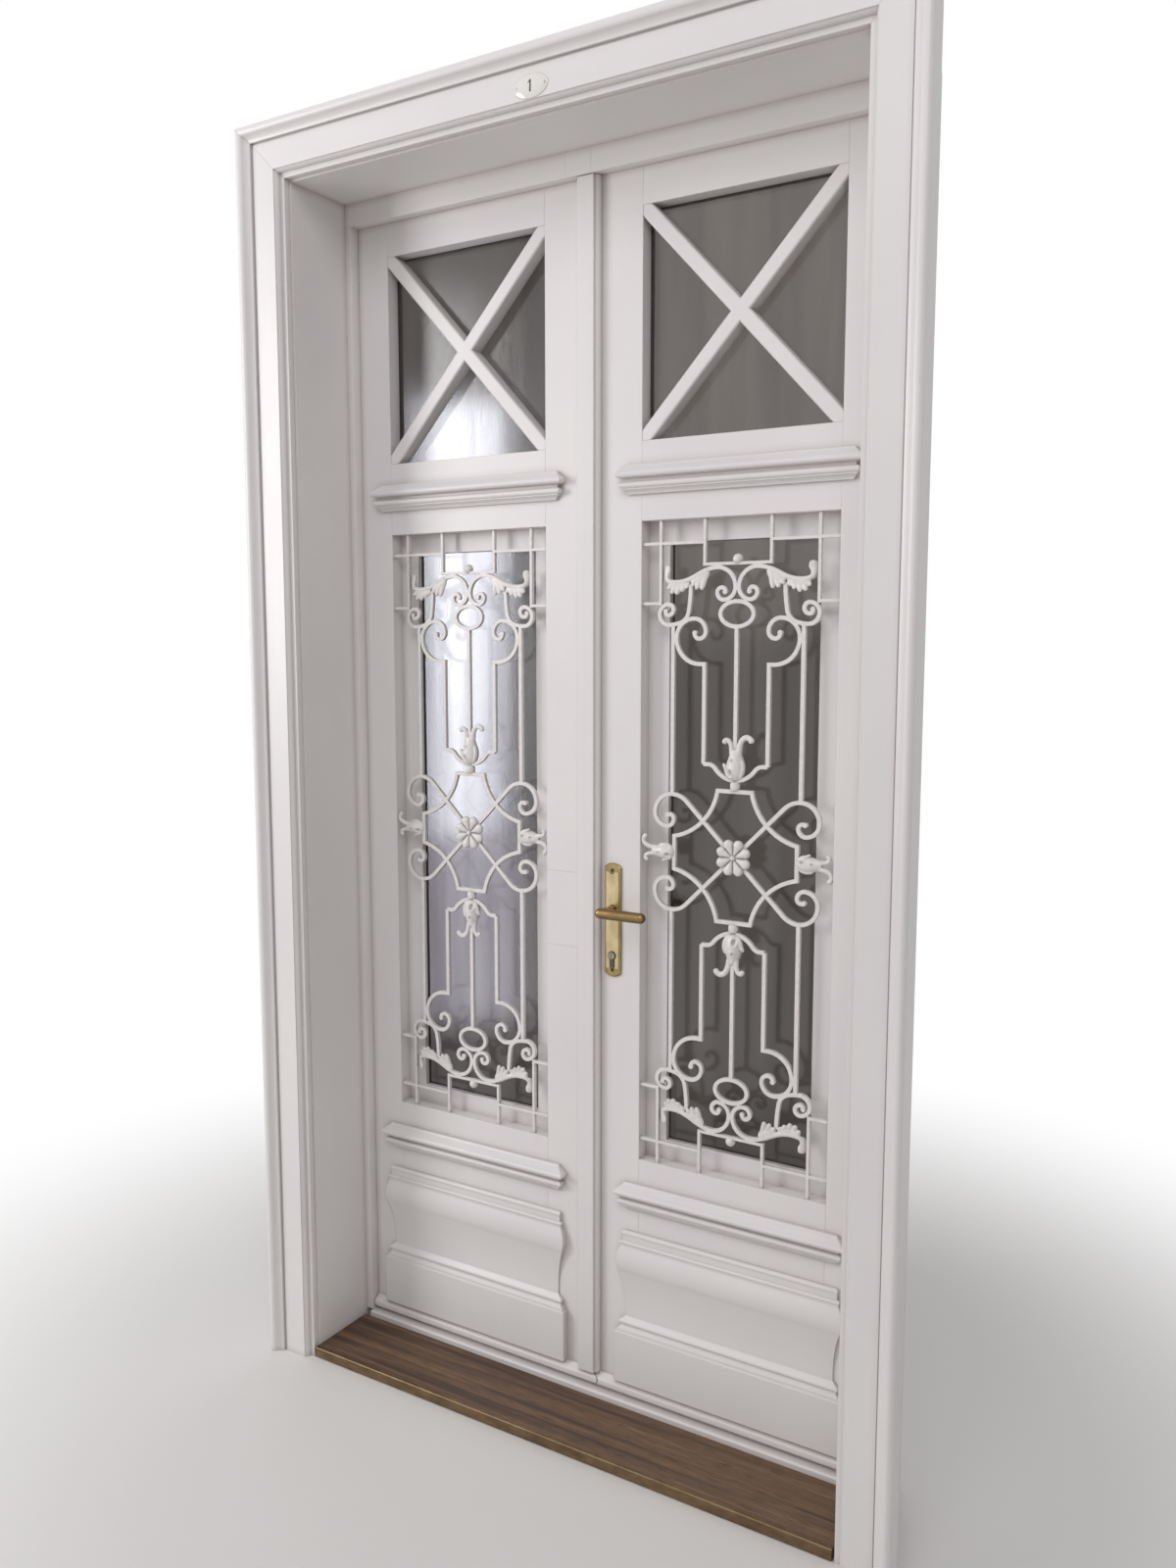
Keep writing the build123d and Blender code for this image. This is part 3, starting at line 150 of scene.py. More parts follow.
def oiled_walnut(name):
    """A sawn and oiled walnut board: long warm streaks 9 mm apart, darker bands, fine open
    pores that drink the light, and a worn half-matt surface. The pores lie closer in truth
    and are drawn 1.4 mm apart to show."""
    material, tree, place = new_material(name)
    streaks = grain(tree, place, 9, "X", 40)
    bands = grain(tree, place, 30, "X", 26)
    pores = grain(tree, place, 1.4, "X", 34)
    warm = ((0.3, "#3f2e25"), (0.5, "#5b4536"), (0.7, "#82694f"))
    fine = add(tree, "ValToRGB", {"Fac": streaks}, stops=warm)
    wide = add(tree, "ValToRGB", {"Fac": bands}, stops=((0.4, "#3f2e24"), (0.6, "#87694d")))
    colour = add(tree, "Mix", {0: 0.5, 6: fine, 7: wide}, out=2, data_type="RGBA")
    pit = add(tree, "MapRange", {"Value": pores, "From Min": 0.36, "From Max": 0.47})
    colour = add(tree, "Mix", {0: pit, 6: "#3d2d23", 7: colour}, out=2, data_type="RGBA")
    relief = add(tree, "Bump", {"Height": pit, "Distance": 0.12 * MM, "Strength": 1.0})
    sheen = add(tree, "MapRange", {"Value": streaks, "To Min": 0.42, "To Max": 0.56})
    add(tree, "OutputMaterial", {"Surface": add(tree, "BsdfPrincipled", {
        "Base Color": colour, "Roughness": sheen, "Normal": relief,
    })})
    return material


def aged_brass(name, along, dull, clean, corner_shade_colour, rough):
    """Brass ground along one way and left to age: fine scratches, drawn 0.8 mm apart so
    that they show, cloudy tarnish in spots of 16 mm, and painted shade in the inner corners."""
    material, tree, place = new_material(name)
    scratches = grain(tree, place, 0.8, along, 60)
    tarnish = grain(tree, place, 16, along, 2)
    colour = add(tree, "ValToRGB", {"Fac": tarnish}, stops=((0.3, dull), (0.7, clean)))
    # painted shade: ambient occlusion darkens the colour in the inner corners
    corner = add(tree, "AmbientOcclusion", {"Distance": 5 * MM}, out="AO", samples=2)
    colour = add(tree, "Mix", {0: corner, 6: corner_shade_colour, 7: colour}, out=2, data_type="RGBA")
    soft = add(tree, "Bevel", {"Radius": 0.7 * MM}, samples=4)
    relief = add(tree, "Bump", {
        "Height": scratches, "Distance": 0.02 * MM, "Strength": 1.0, "Normal": soft,
    })
    sheen = add(tree, "MapRange", {"Value": tarnish, "To Min": rough, "To Max": rough + 0.12})
    add(tree, "OutputMaterial", {"Surface": add(tree, "BsdfPrincipled", {
        "Base Color": colour, "Metallic": 1.0, "Roughness": sheen, "Normal": relief,
    })})
    return material


def ground_steel(name, dark, light):
    """Steel lock parts, surface-ground and lightly oiled: a faint upright grain that draws
    the gloss out, with lines 0.8 mm apart, coarser than true, so that they show."""
    material, tree, place = new_material(name)
    lines = grain(tree, place, 0.8, "Z", 40)
    colour = add(tree, "ValToRGB", {"Fac": lines}, stops=((0.3, dark), (0.7, light)))
    relief = add(tree, "Bump", {"Height": lines, "Distance": 0.02 * MM, "Strength": 1.0})
    sheen = add(tree, "MapRange", {"Value": lines, "To Min": 0.3, "To Max": 0.45})
    add(tree, "OutputMaterial", {"Surface": add(tree, "BsdfPrincipled", {
        "Base Color": colour, "Metallic": 1.0, "Roughness": sheen, "Normal": relief,
    })})
    return material


def cathedral_glass(name):
    """Rolled cathedral glass. Its tint is painted dark grey-brown as the shade of the dark room
    behind it, in upright bands that are the painted shade of a curtain's folds there. The
    roller leaves shallow dimples of about 4.5 mm that break a bright room behind it into
    sparks, and broad upright swells bend what is mirrored in it."""
    material, tree, place = new_material(name)
    dimples = grain(tree, place, 4.5, "Z", 1.6)
    swells = grain(tree, place, 46, "Z", 3)
    curtain_fold_shade = grain(tree, place, 70, "Z", 12)
    relief = add(tree, "Bump", {"Height": swells, "Distance": 0.30 * MM, "Strength": 1.0})
    relief = add(tree, "Bump", {
        "Height": dimples, "Distance": 0.16 * MM, "Strength": 1.0, "Normal": relief,
    })
    # painted shade: a dark tint for the dark room behind, in upright bands for a curtain's folds
    colour = add(tree, "ValToRGB", {"Fac": curtain_fold_shade}, stops=((0.3, "#474240"), (0.7, "#58534f")))
    sheen = add(tree, "MapRange", {"Value": dimples, "To Min": 0.12, "To Max": 0.20})
    add(tree, "OutputMaterial", {"Surface": add(tree, "BsdfPrincipled", {
        "Base Color": colour, "Roughness": sheen, "Normal": relief, "IOR": 1.52,
        "Transmission Weight": 0.9,
    })})
    return material


def vitreous_enamel(name, low, high):
    """Enamel fired on sheet steel: a glassy shine over a barely rippled skin."""
    material, tree, place = new_material(name)
    ripple = grain(tree, place, 4, "Z", 1)
    colour = add(tree, "ValToRGB", {"Fac": ripple}, stops=((0.3, low), (0.7, high)))
    relief = add(tree, "Bump", {"Height": ripple, "Distance": 0.03 * MM, "Strength": 1.0})
    add(tree, "OutputMaterial", {"Surface": add(tree, "BsdfPrincipled", {
        "Base Color": colour, "Roughness": 0.14, "Coat Weight": 0.4, "Normal": relief,
    })})
    return material


PAINT_UPRIGHT = satin_alkyd_paint("satin_paint_brushed_upright", "Z")
PAINT_LEVEL = satin_alkyd_paint("satin_paint_brushed_level", "X")
PAINT_IRON = painted_wrought_iron("satin_paint_on_iron")
WALNUT = oiled_walnut("oiled_walnut_board")
# the fourth colour of each brass is the painted shade of its inner corners
BRASS_PLATE = aged_brass("aged_brass_ground_upright", "Z", "#8a774f", "#ab9764", "#4b3d27", 0.30)
# the raised middles are a lighter brass than the plate: a painted reflection
BRASS_PANEL_PAINTED_LIGHTER = aged_brass("brass_painted_lighter_ground_upright", "Z", "#b3a27c", "#cdbc92", "#5d4e34", 0.24)
BRASS_LEVER = aged_brass("handled_brass_ground_level", "X", "#7b6546", "#957a54", "#473621", 0.26)
BRASS_NOSING = aged_brass("trodden_brass_ground_level", "X", "#6f5d48", "#8b765a", "#463a2d", 0.34)
STEEL = ground_steel("ground_steel", "#8d8a84", "#a8a49d")
STEEL_DARK = ground_steel("blackened_steel", "#45403a", "#6a645c")
GLASS = cathedral_glass("rolled_cathedral_glass")
ENAMEL = vitreous_enamel("white_vitreous_enamel", "#dedad3", "#e7e4de")
ENAMEL_BLACK = vitreous_enamel("black_vitreous_enamel", "#1b1917", "#24211e")

# Words in the names of members that lie level, and the parts of bright steel
LEVEL_WORDS = ("head", "rail", "sill", "moulding", "base_panel")
STEEL_NODES = ("strike_plate", "lock_case", "latch_bolt", "dead_bolt", "cylinder_plug")
for name, piece in nodes.items():
    if name == "threshold_board":
        coat = WALNUT
    elif name == "threshold_nosing":
        coat = BRASS_NOSING
    elif name.startswith("lever"):
        coat = BRASS_LEVER
    elif name.startswith("backplate") or name == "bolt_keeps":
        coat = BRASS_PLATE
    elif name == "lock_cylinder":
        coat = STEEL_DARK
    elif "grille" in name or "hinges" in name:
        coat = PAINT_IRON
    elif name in STEEL_NODES or "flush_bolt" in name:
        coat = STEEL
    elif name.endswith("panes"):
        coat = GLASS
    elif name == "number_plate":
        coat = ENAMEL
    elif any(word in name for word in LEVEL_WORDS):
        coat = PAINT_LEVEL
    else:
        coat = PAINT_UPRIGHT
    piece.data.materials.clear()
    piece.data.materials.append(coat)


# Surfaces in millimetres, made metres where they become pieces

def smooth_path(rows, count):
    """Catmull-Rom curve through the rows: each span is a cubic of its two ends and their
    neighbours. Stations crowd towards both ends by a cosine."""
    points = np.array(rows, float)
    ends = (2 * points[:1] - points[1:2], points, 2 * points[-1:] - points[-2:-1])
    points = np.concatenate(ends)
    reach = (1 - np.cos(np.linspace(0, np.pi, count))) / 2 * (len(rows) - 1)
    span = np.minimum(reach.astype(int), len(rows) - 2)
    f = (reach - span)[:, None]
    a, b, c, d = (points[span + k] for k in range(4))
    bend, twist = 2 * a - 5 * b + 4 * c - d, 3 * b - a - 3 * c + d
    return 0.5 * (2 * b + (c - a) * f + bend * f**2 + twist * f**3)


def closed_skin(rings):
    """Skin over rings of points (station, round, xyz): quads from ring to ring, and a fan
    of triangles from the first and the last ring to its middle."""
    stations, around = rings.shape[:2]
    points = np.concatenate([rings.reshape(-1, 3), rings[:1].mean(axis=1), rings[-1:].mean(axis=1)])
    row, col = np.meshgrid(np.arange(stations - 1), np.arange(around), indexing="ij")
    row, col = row.ravel() * around, col.ravel()
    after = (col + 1) % around
    quads = np.stack([row + col, row + after, row + around + after, row + around + col], axis=1)
    ring = np.arange(around)
    last = (stations - 1) * around
    following = (ring + 1) % around
    start_middle, end_middle = (np.full(around, stations * around + k) for k in (0, 1))
    start = np.stack([start_middle, following, ring], axis=1)
    end = np.stack([end_middle, last + ring, last + following], axis=1)
    return points, quads.tolist() + start.tolist() + end.tolist()


def joined(skins):
    """Several skins as one: the faces of each count on from the points before it."""
    points, faces, base = [], [], 0
    for skin_points, skin_faces in skins:
        points.append(skin_points)
        faces += [[base + i for i in face] for face in skin_faces]
        base += len(skin_points)
    return np.concatenate(points), faces


def limb(rows, stations=26, around=16, blunt=9):
    """A flattened limb along rows of (x, z, width, y, depth): each section is an ellipse
    across the path, and the ends close by the root of 1 - |2t - 1|^blunt."""
    path = smooth_path(rows, stations)
    way = np.gradient(path[:, :2], axis=0)
    way /= np.linalg.norm(way, axis=1)[:, None]
    t = (1 - np.cos(np.linspace(0.02, np.pi - 0.02, stations))) / 2
    close = np.sqrt(1 - np.abs(2 * t - 1) ** blunt)
    s = np.linspace(0, 2 * np.pi, around, endpoint=False)
    across = (path[:, 2] * close / 2)[:, None] * np.cos(s)
    x = path[:, 0:1] - way[:, 1:2] * across
    z = path[:, 1:2] + way[:, 0:1] * across
    y = path[:, 3:4] - (path[:, 4] * close / 2)[:, None] * np.sin(s)
    return closed_skin(np.stack([x, y, z], axis=-1))


def cast_shape(name, skin, voxel, rounds):
    """Skins that pass through each other, melted into one casting: remeshed in cubes of
    one voxel and smoothed. Gives back points and faces in millimetres."""
    mesh = bpy.data.meshes.new(name)
    mesh.from_pydata((skin[0] * MM).tolist(), [], skin[1])
    rough = bpy.data.objects.new(name, mesh)
    bpy.context.scene.collection.objects.link(rough)
    remesh = rough.modifiers.new("melt", "REMESH")
    remesh.mode, remesh.voxel_size = "VOXEL", voxel * MM
    soften = rough.modifiers.new("soften", "SMOOTH")
    soften.factor, soften.iterations = 0.5, rounds
    done = bpy.data.meshes.new_from_object(rough.evaluated_get(bpy.context.evaluated_depsgraph_get()))
    points = np.empty(len(done.vertices) * 3)
    done.vertices.foreach_get("co", points)
    faces = [list(polygon.vertices) for polygon in done.polygons]
    bpy.data.objects.remove(rough)
    bpy.data.meshes.remove(mesh)
    bpy.data.meshes.remove(done)
    return points.reshape(-1, 3) / MM, faces


def placed(skin, origin, x_way=(1, 0), z_way=(0, 1), y_way=1):
    """A skin set at an origin (x, y, z) with its own x and z laid along two directions of
    the leaf's plane, and its y forward (1) or back (-1); a mirrored copy has its faces
    turned over."""
    points, faces = skin
    x = origin[0] + points[:, 0] * x_way[0] + points[:, 2] * z_way[0]
    z = origin[2] + points[:, 0] * x_way[1] + points[:, 2] * z_way[1]
    mirrored = (x_way[0] * z_way[1] - x_way[1] * z_way[0]) * y_way < 0
    turned = [face[::-1] for face in faces] if mirrored else faces
    return np.stack([x, origin[1] + points[:, 1] * y_way, z], axis=1), turned


def make_piece(name, skin, body, coat, slot, *replaced):
    """A smooth piece in metres from a skin in millimetres: it rides on a body, takes the
    coat as its material and stands in for the nodes it replaces. The slot is not used."""
    mesh = bpy.data.meshes.new(name)
    mesh.from_pydata((skin[0] * MM).tolist(), [], skin[1])
    mesh.polygons.foreach_set("use_smooth", np.ones(len(mesh.polygons), bool))
    mesh.materials.append(coat)
    piece = bpy.data.objects.new(name, mesh)
    bpy.context.scene.collection.objects.link(piece)
    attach(piece, body)
    if replaced:
        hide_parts(*replaced)


# Grille ornaments

WINDOW_MID = 318.0        # the doors' centre line to the opening's
GRILLE_MID = 1219.0       # floor to the grille's middle
RING_HIGH = 471.0         # the grille's middle to a ring
BAR_MIDDLE = 8.0          # depth of the bars' middle behind the leaf's face
BAR_FACE = 4.0            # and of their front
CUP = 151.0               # the grille's middle to the cup of an upright tulip
MEDALLION_SIDE = 130.5    # and to the cup of one at the side
SIDE_TULIP = 0.83         # its size against an upright one
COLLAR_RADIUS = 10.0
COLLAR_LOW, COLLAR_HIGH = 131.5, 149.5


def acanthus():
    """A cast leaf at the head of a scroll, from the ring's centre: a rib along the upper
    edge, two smooth lobes below it, eight fingers at their lower edge with tips turned
    forward, and a curled tip whose blade is turned outwards by a shear of its depth."""
    rib = (
        (56, 87.6, 8, 8, 8), (66, 84.5, 10, 7.5, 9), (81, 77, 11, 7, 10), (97, 69, 11, 6.5, 10),
        (112, 64, 11, 6.5, 10), (127, 62, 11, 6.5, 10), (140, 62.5, 11, 6, 10), (150, 66.5, 10, 6, 9),
    )
    lobes = (
        (
            (60, 83, 8, 7.5, 8), (70, 74, 20, 7, 9), (81, 68, 22, 6.5, 9), (91, 64, 17, 6.5, 9),
            (99, 64, 10, 7, 8),
        ),
        (
            (102, 62, 9, 7, 8), (113, 57, 17, 6.5, 9), (126, 55, 19, 6.5, 9), (138, 57, 18, 6, 9),
            (147, 61, 11, 6, 8),
        ),
    )
    fingers = (
        ((67, 72, 9, 7, 7), (71, 59, 11, 5.5, 9), (74.5, 46, 8, 3, 7)),
        ((78, 69, 9, 7, 7), (82, 58, 11.5, 5.5, 9), (86, 47.5, 8, 3, 7)),
        ((87, 66, 9, 7, 7), (91.5, 60, 11, 5.5, 9), (96.5, 54, 7, 3.5, 6)),
        ((103, 62, 8, 7, 7), (105.5, 56, 9, 6, 8), (108, 50, 6, 4, 6)),
        ((110, 59, 9, 7, 7), (114, 52, 11, 5.5, 9), (118, 44, 8, 3, 7)),
        ((121, 56, 9, 7, 7), (125, 48, 11.5, 5.5, 9), (129, 38.5, 8, 3, 7)),
        ((131, 57, 9, 7, 7), (135.5, 49, 11.5, 5.5, 9), (140, 40.5, 8, 3, 7)),
        ((138, 60, 9, 7, 7), (143, 55, 10.5, 5.5, 8), (148, 49.5, 7, 3.5, 6)),
    )
    curl = (
        (147, 64, 10, 6.5, 10), (152.5, 70, 12, 7, 10), (154, 79, 16, 7.5, 9), (151, 88, 18, 8, 9),
        (146, 95, 9, 8, 8),
    )
    shear, hinge = 0.35, 148
    tip = limb(curl, stations=40, blunt=12)
    tip[0][:, 1] += shear * (tip[0][:, 0] - hinge)
    skins = [limb(rib, stations=60, blunt=14), tip]
    skins += [limb(rows, stations=34) for rows in lobes + fingers]
    return cast_shape("acanthus", joined(skins), 1.0, 3)


def bud():
    """The tulip's closed flower: a profile of (height, half width) carried round the z
    axis on an ellipse with three faint swells. Hollows are pressed into its front by bell
    curves, each inside a raised rim that is a bell curve of the distance from the hollow's
    edge."""
    flat, swell = 0.76, 0.04
    profile = smooth_path(
        ((0, 6), (2, 10.5), (9, 16), (20, 19), (32, 18.6), (44, 15), (54, 11.5), (60, 9)), 76,
    )
    turn = np.linspace(0, 2 * np.pi, 112, endpoint=False)[None, :]
    z = profile[:, 0:1] + 0 * turn
    radius = profile[:, 1:2] * (1 + swell * np.cos(3 * turn))
    side = radius * np.sin(turn)
    front = np.cos(turn) > 0
    hollows = ((-6.5, 15, 5.0, 7.5, 7.5), (-3.0, 39, 3.0, 3.8, 4.5))
    for across, up, half_wide, half_tall, deep in hollows:
        away = np.hypot((side - across) / half_wide, (z - up) / half_tall)
        rim = 0.22 * deep * np.exp(-(((away - 1.2) / 0.3) ** 2))
        radius = radius + np.where(front, rim - deep * np.exp(-((away / 0.8) ** 4)), 0)
    return closed_skin(np.stack([radius * np.sin(turn), -flat * radius * np.cos(turn), z], axis=-1))


def tulip():
    """A cast tulip that stands on its z axis: the bud, a long and a short petal that part
    above it and roll over outwards, and two leaves that clasp it, one with a free lip."""
    long_petal = (
        (4, 42, 15, 0, 15), (7, 55, 13.5, -1, 13), (10, 69, 12, -2, 11), (15.5, 80, 11.5, -3, 9.5),
        (24.5, 84.5, 11.5, -3.5, 9), (33, 80.5, 12, -4, 9), (35.5, 73.5, 13, -4, 9.5),
    )
    short_petal = (
        (-5, 42, 14, 0, 15), (-7, 55, 12, -1, 12), (-8, 67, 10.5, -2, 10), (-12.5, 76, 10, -3, 9),
        (-19.5, 78, 10, -3.5, 8.5), (-24, 71, 11, -4, 8.5),
    )
    lip = ((-8, 3, 9, -1, 12), (-15, 12, 9, -3, 12), (-18.5, 23, 8.5, -4, 10), (-24, 33.5, 6, -4.5, 7))
    clasp = ((8, 3, 9, -1, 12), (14.5, 13, 9, -3, 12), (17.5, 26, 8.5, -4, 10), (15, 41, 7, -4, 7))
    skins = [
        bud(), limb(long_petal, stations=48, blunt=12), limb(short_petal, stations=44, blunt=12),
        limb(lip, stations=30), limb(clasp, stations=30),
    ]
    return cast_shape("tulip", joined(skins), 0.9, 2)


def rosette():
    """Eight drop-shaped petals and a boss, flat behind. A petal's half width rises in line
    with its distance from the centre and ends in a circle; its section is half an ellipse,
    whose rise grows with the power 0.45 of that half width. The boss is half an ellipsoid
    on a straight wall."""
    inner, head, half, petal_rise = 3.0, 26.6, 10.7, 8.2
    boss_radius, boss_foot, boss_rise = 5.3, 4.6, 4.6
    reach = smooth_path(((inner,), (head + half,)), 34)[:, 0]
    straight = reach * half / head
    outer = np.sqrt(np.maximum(half**2 - (reach - head) ** 2, 0.01))
    wide = np.where(reach < head - 4.0, straight, outer)
    s = np.linspace(0, 2 * np.pi, 20, endpoint=False)
    across = wide[:, None] * np.cos(s)
    rise = (petal_rise * (wide / half) ** 0.45)[:, None] * np.maximum(np.sin(s), -0.08)
    petals = []
    for k in range(8):
        turn = np.pi * (k + 0.5) / 4
        x = reach[:, None] * np.cos(turn) - across * np.sin(turn)
        z = reach[:, None] * np.sin(turn) + across * np.cos(turn)
        petals.append(closed_skin(np.stack([x, BAR_FACE - rise, z], axis=-1)))
    lift = np.linspace(0.05, np.pi / 2, 8)[:, None]
    around = np.linspace(0, 2 * np.pi, 24, endpoint=False)
    ball = boss_radius * np.cos(lift)
    depth = BAR_FACE - boss_foot - boss_rise * np.sin(lift) + 0 * around
    boss = np.stack([ball * np.cos(around), depth, ball * np.sin(around)], axis=-1)
    foot = boss[:1] + np.array([0, boss_foot, 0])
    return joined(petals + [closed_skin(np.concatenate([foot, boss]))])


def collar():
    """The forged collar between medallion and cup: a drum about the z axis whose radius
    falls as the fourth root of 1 - |2t - 1|^3, like a squeezed ball."""
    t = (1 - np.cos(np.linspace(0.12, np.pi - 0.12, 24))) / 2
    turn = np.linspace(0, 2 * np.pi, 40, endpoint=False)[None, :]
    radius = COLLAR_RADIUS * ((1 - np.abs(2 * t - 1) ** 3) ** 0.25)[:, None]
    z = (COLLAR_LOW + (COLLAR_HIGH - COLLAR_LOW) * t)[:, None] + 0 * turn
    return closed_skin(np.stack([radius * np.sin(turn), -radius * np.cos(turn), z], axis=-1))


leaf_cast, tulip_cast, rosette_cast = acanthus(), tulip(), rosette()
small_tulip_cast = (tulip_cast[0] * SIDE_TULIP, tulip_cast[1])
for side, hand in (("left", -1), ("right", 1)):
    middle = hand * WINDOW_MID
    body = side + "_leaf"
    leaves = [
        placed(leaf_cast, (middle, 0, GRILLE_MID + up * RING_HIGH), (way, 0), (0, up))
        for way in (1, -1) for up in (1, -1)
    ]
    flowers = [
        placed(tulip_cast, (middle, BAR_MIDDLE, GRILLE_MID + up * CUP), (up, 0), (0, up))
        for up in (1, -1)
    ] + [
        placed(
            small_tulip_cast, (middle + way * MEDALLION_SIDE, BAR_MIDDLE, GRILLE_MID),
            (0, -way), (way, 0),
        )
        for way in (1, -1)
    ]
    collars = [
        placed(collar(), (middle, BAR_MIDDLE, GRILLE_MID), (up, 0), (0, up)) for up in (1, -1)
    ]
    make_piece(
        side + "_cast_leaves", joined(leaves), body, PAINT_IRON, "painted_iron",
        side + "_grille_ornaments",
    )
    for part, skin in (
        ("_cast_tulips", joined(flowers)),
        ("_collars", joined(collars)),
        ("_cast_rosette", placed(rosette_cast, (middle, 0, GRILLE_MID))),
    ):
        make_piece(side + part, skin, body, PAINT_IRON, "painted_iron")


# Number plate on the casing head

FASCIA = -215.0           # the casing's flat face
PLATE_HIGH = 2632.0       # floor to the plate's middle
PLATE_HALF_WIDE, PLATE_HALF_TALL = 36.0, 21.0
PLATE_EDGE, PLATE_DOME = 1.0, 3.3
PLATE_SCREW_ACROSS, PLATE_SCREW_SUNK = 30.0, 0.7
PLATE_SLOT_WAYS = (0.8, 0.6), (-0.6, 0.8)


def plate_height(x, z):
    """How far the enamel stands off the fascia: it falls with the distance from the
    centre, measured in half widths, to the power 3.6."""
    away = np.clip((x / PLATE_HALF_WIDE) ** 2 + (z / PLATE_HALF_TALL) ** 2, 0, 1)
    return PLATE_EDGE + PLATE_DOME * (1 - away**1.8)


def number_plate():
    """A domed oval: rings of one ellipse shrink to the centre, the first two stand up from
    the fascia as its rounded edge."""
    inward = 1 - np.linspace(0, 0.97, 26)
    share = np.concatenate([[1.0, 1.0, 0.996], inward[1:]])[:, None]
    turn = np.linspace(0, 2 * np.pi, 96, endpoint=False)
    x, z = PLATE_HALF_WIDE * share * np.cos(turn), PLATE_HALF_TALL * share * np.sin(turn)
    height = plate_height(x, z)
    height[0], height[1] = 0.0, 0.9
    return closed_skin(np.stack([x, -height, z], axis=-1))


def numeral_one():
    """A plain 1 as two flat strokes that follow the dome."""
    stem = ((0.9, 10.4, 3.4), (0.7, 3, 3.4), (0.4, -4, 3.4), (0.2, -10.6, 4.2))
    flag = ((-4.8, 4.6, 1.6), (-2.2, 6.8, 2.0), (0.7, 10.2, 2.4))
    strokes = []
    for spine in (stem, flag):
        rows = [(x, z, wide, -plate_height(x, z), 0.7) for x, z, wide in spine]
        strokes.append(limb(rows, stations=24, around=12, blunt=30))
    return joined(strokes)


def screw_head(radius, crown, groove, cross):
    """A screw head that looks along -y: its height falls with the square of the distance
    from the centre, less a slot, or two crossed, whose walls are a steep bell curve."""
    rim, slot_half, cross_reach = 0.6, 0.6, 0.72 * radius
    share = np.concatenate([[1.0], 1 - np.linspace(0, 0.96, 22)])[:, None]
    turn = np.linspace(0, 2 * np.pi, 72, endpoint=False)
    x, z = radius * share * np.cos(turn), radius * share * np.sin(turn)
    slot = np.exp(-((x / slot_half) ** 6))
    if cross:
        other = np.exp(-((z / slot_half) ** 6)) * (np.abs(x) < cross_reach)
        slot = np.maximum(slot * (np.abs(z) < cross_reach), other)
    height = rim + crown * (1 - share**2) - groove * slot
    height[0] = 0.0
    return closed_skin(np.stack([x, -height, z], axis=-1))


plate_screw = screw_head(2.6, 0.9, 0.7, False)
plate_screw_depth = FASCIA - plate_height(PLATE_SCREW_ACROSS, 0) + PLATE_SCREW_SUNK
plate_screws = [
    placed(plate_screw, (way * PLATE_SCREW_ACROSS, plate_screw_depth, PLATE_HIGH), *PLATE_SLOT_WAYS)
    for way in (1, -1)
]
plate_middle = (0, FASCIA, PLATE_HIGH)
make_piece(
    "enamel_number_plate", placed(number_plate(), plate_middle), "frame", ENAMEL, "white_enamel",
    "number_plate",
)
make_piece(
    "enamel_numeral", placed(numeral_one(), plate_middle), "frame", ENAMEL_BLACK, "white_enamel",
)
make_piece("number_plate_screws", joined(plate_screws), "frame", STEEL, "lock_steel")


# Back plates of the lever and the lock: raised middles and cross-slot screws, on the
# outside (facing 1) and on the inside (facing -1)

BACKPLATE_ACROSS = 51.0
PLATE_FACES = ((-5.0, 1), (63.0, -1))
SCREW_SEATS = ((-3.8, 1), (61.8, -1))
SCREWS_HIGH = (961.5, 1170.5)
CROSS_SLOT_WAYS = (0.9, 0.436), (-0.436, 0.9)
LEVER_HIGH = 1090.0
LOCK_HIGH = 992.0
LOCK_SLOT_LOW, LOCK_SLOT_HALF = 966.6, 5.4
SCREW_CLEAR, LOCK_CLEAR, LEVER_CLEAR = 8.0, 8.9, 8.4


def raised_panel():
    """Half of a back plate's raised middle, x > 0, as sections at stations of z: the outer
    edge is straight and rounds over by a quarter circle, the inner edge keeps clear of the
    two screws, the lever's neck and the lock cylinder by circles and a straight slot."""
    low, high, outer, rise, over, sunk = 964.6, 1167.4, 15.0, 1.3, 1.1, 0.3
    middle_rows = np.linspace(low + 0.4, high - 0.4, 300)
    z = np.concatenate([[low, low + 0.1], middle_rows, [high - 0.1, high]])
    inner = np.where((z > LOCK_SLOT_LOW) & (z < LOCK_HIGH), LOCK_SLOT_HALF, 0.0)
    circles = [(screw, SCREW_CLEAR) for screw in SCREWS_HIGH]
    circles += [(LOCK_HIGH, LOCK_CLEAR), (LEVER_HIGH, LEVER_CLEAR)]
    for middle, radius in circles:
        inner = np.maximum(inner, np.sqrt(np.maximum(radius**2 - (z - middle) ** 2, 0)))
    turn = np.linspace(0, np.pi / 2, 7)
    edge = 1 + len(turn)
    x, y = np.empty((2, len(z), edge + 4))
    x[:, 0], y[:, 0] = outer, sunk
    x[:, 1:edge] = outer - over * (1 - np.cos(turn))
    y[:, 1:edge] = -rise + over * (1 - np.sin(turn))
    x[:, edge:] = inner[:, None] + [0.3, 0.1, 0.0, 0.0]
    y[:, edge:] = [-rise, -rise, 0.1 - rise, sunk]
    height = np.broadcast_to(z[:, None], x.shape)
    return closed_skin(np.stack([x, y, height], axis=-1)[:, ::-1])


panels = [
    placed(raised_panel(), (BACKPLATE_ACROSS, face, 0), (side, 0), (0, 1), facing)
    for face, facing in PLATE_FACES for side in (1, -1)
]
make_piece("backplate_panels", joined(panels), "right_leaf", BRASS_PANEL_PAINTED_LIGHTER, "satin_brass")
back_screw = screw_head(3.9, 0.3, 0.9, True)
back_screws = [
    placed(back_screw, (BACKPLATE_ACROSS, seat, up), *CROSS_SLOT_WAYS, facing)
    for seat, facing in SCREW_SEATS for up in SCREWS_HIGH
]
make_piece("backplate_screw_heads", joined(back_screws), "right_leaf", STEEL_DARK, "lock_steel")


# Camera, light and floor

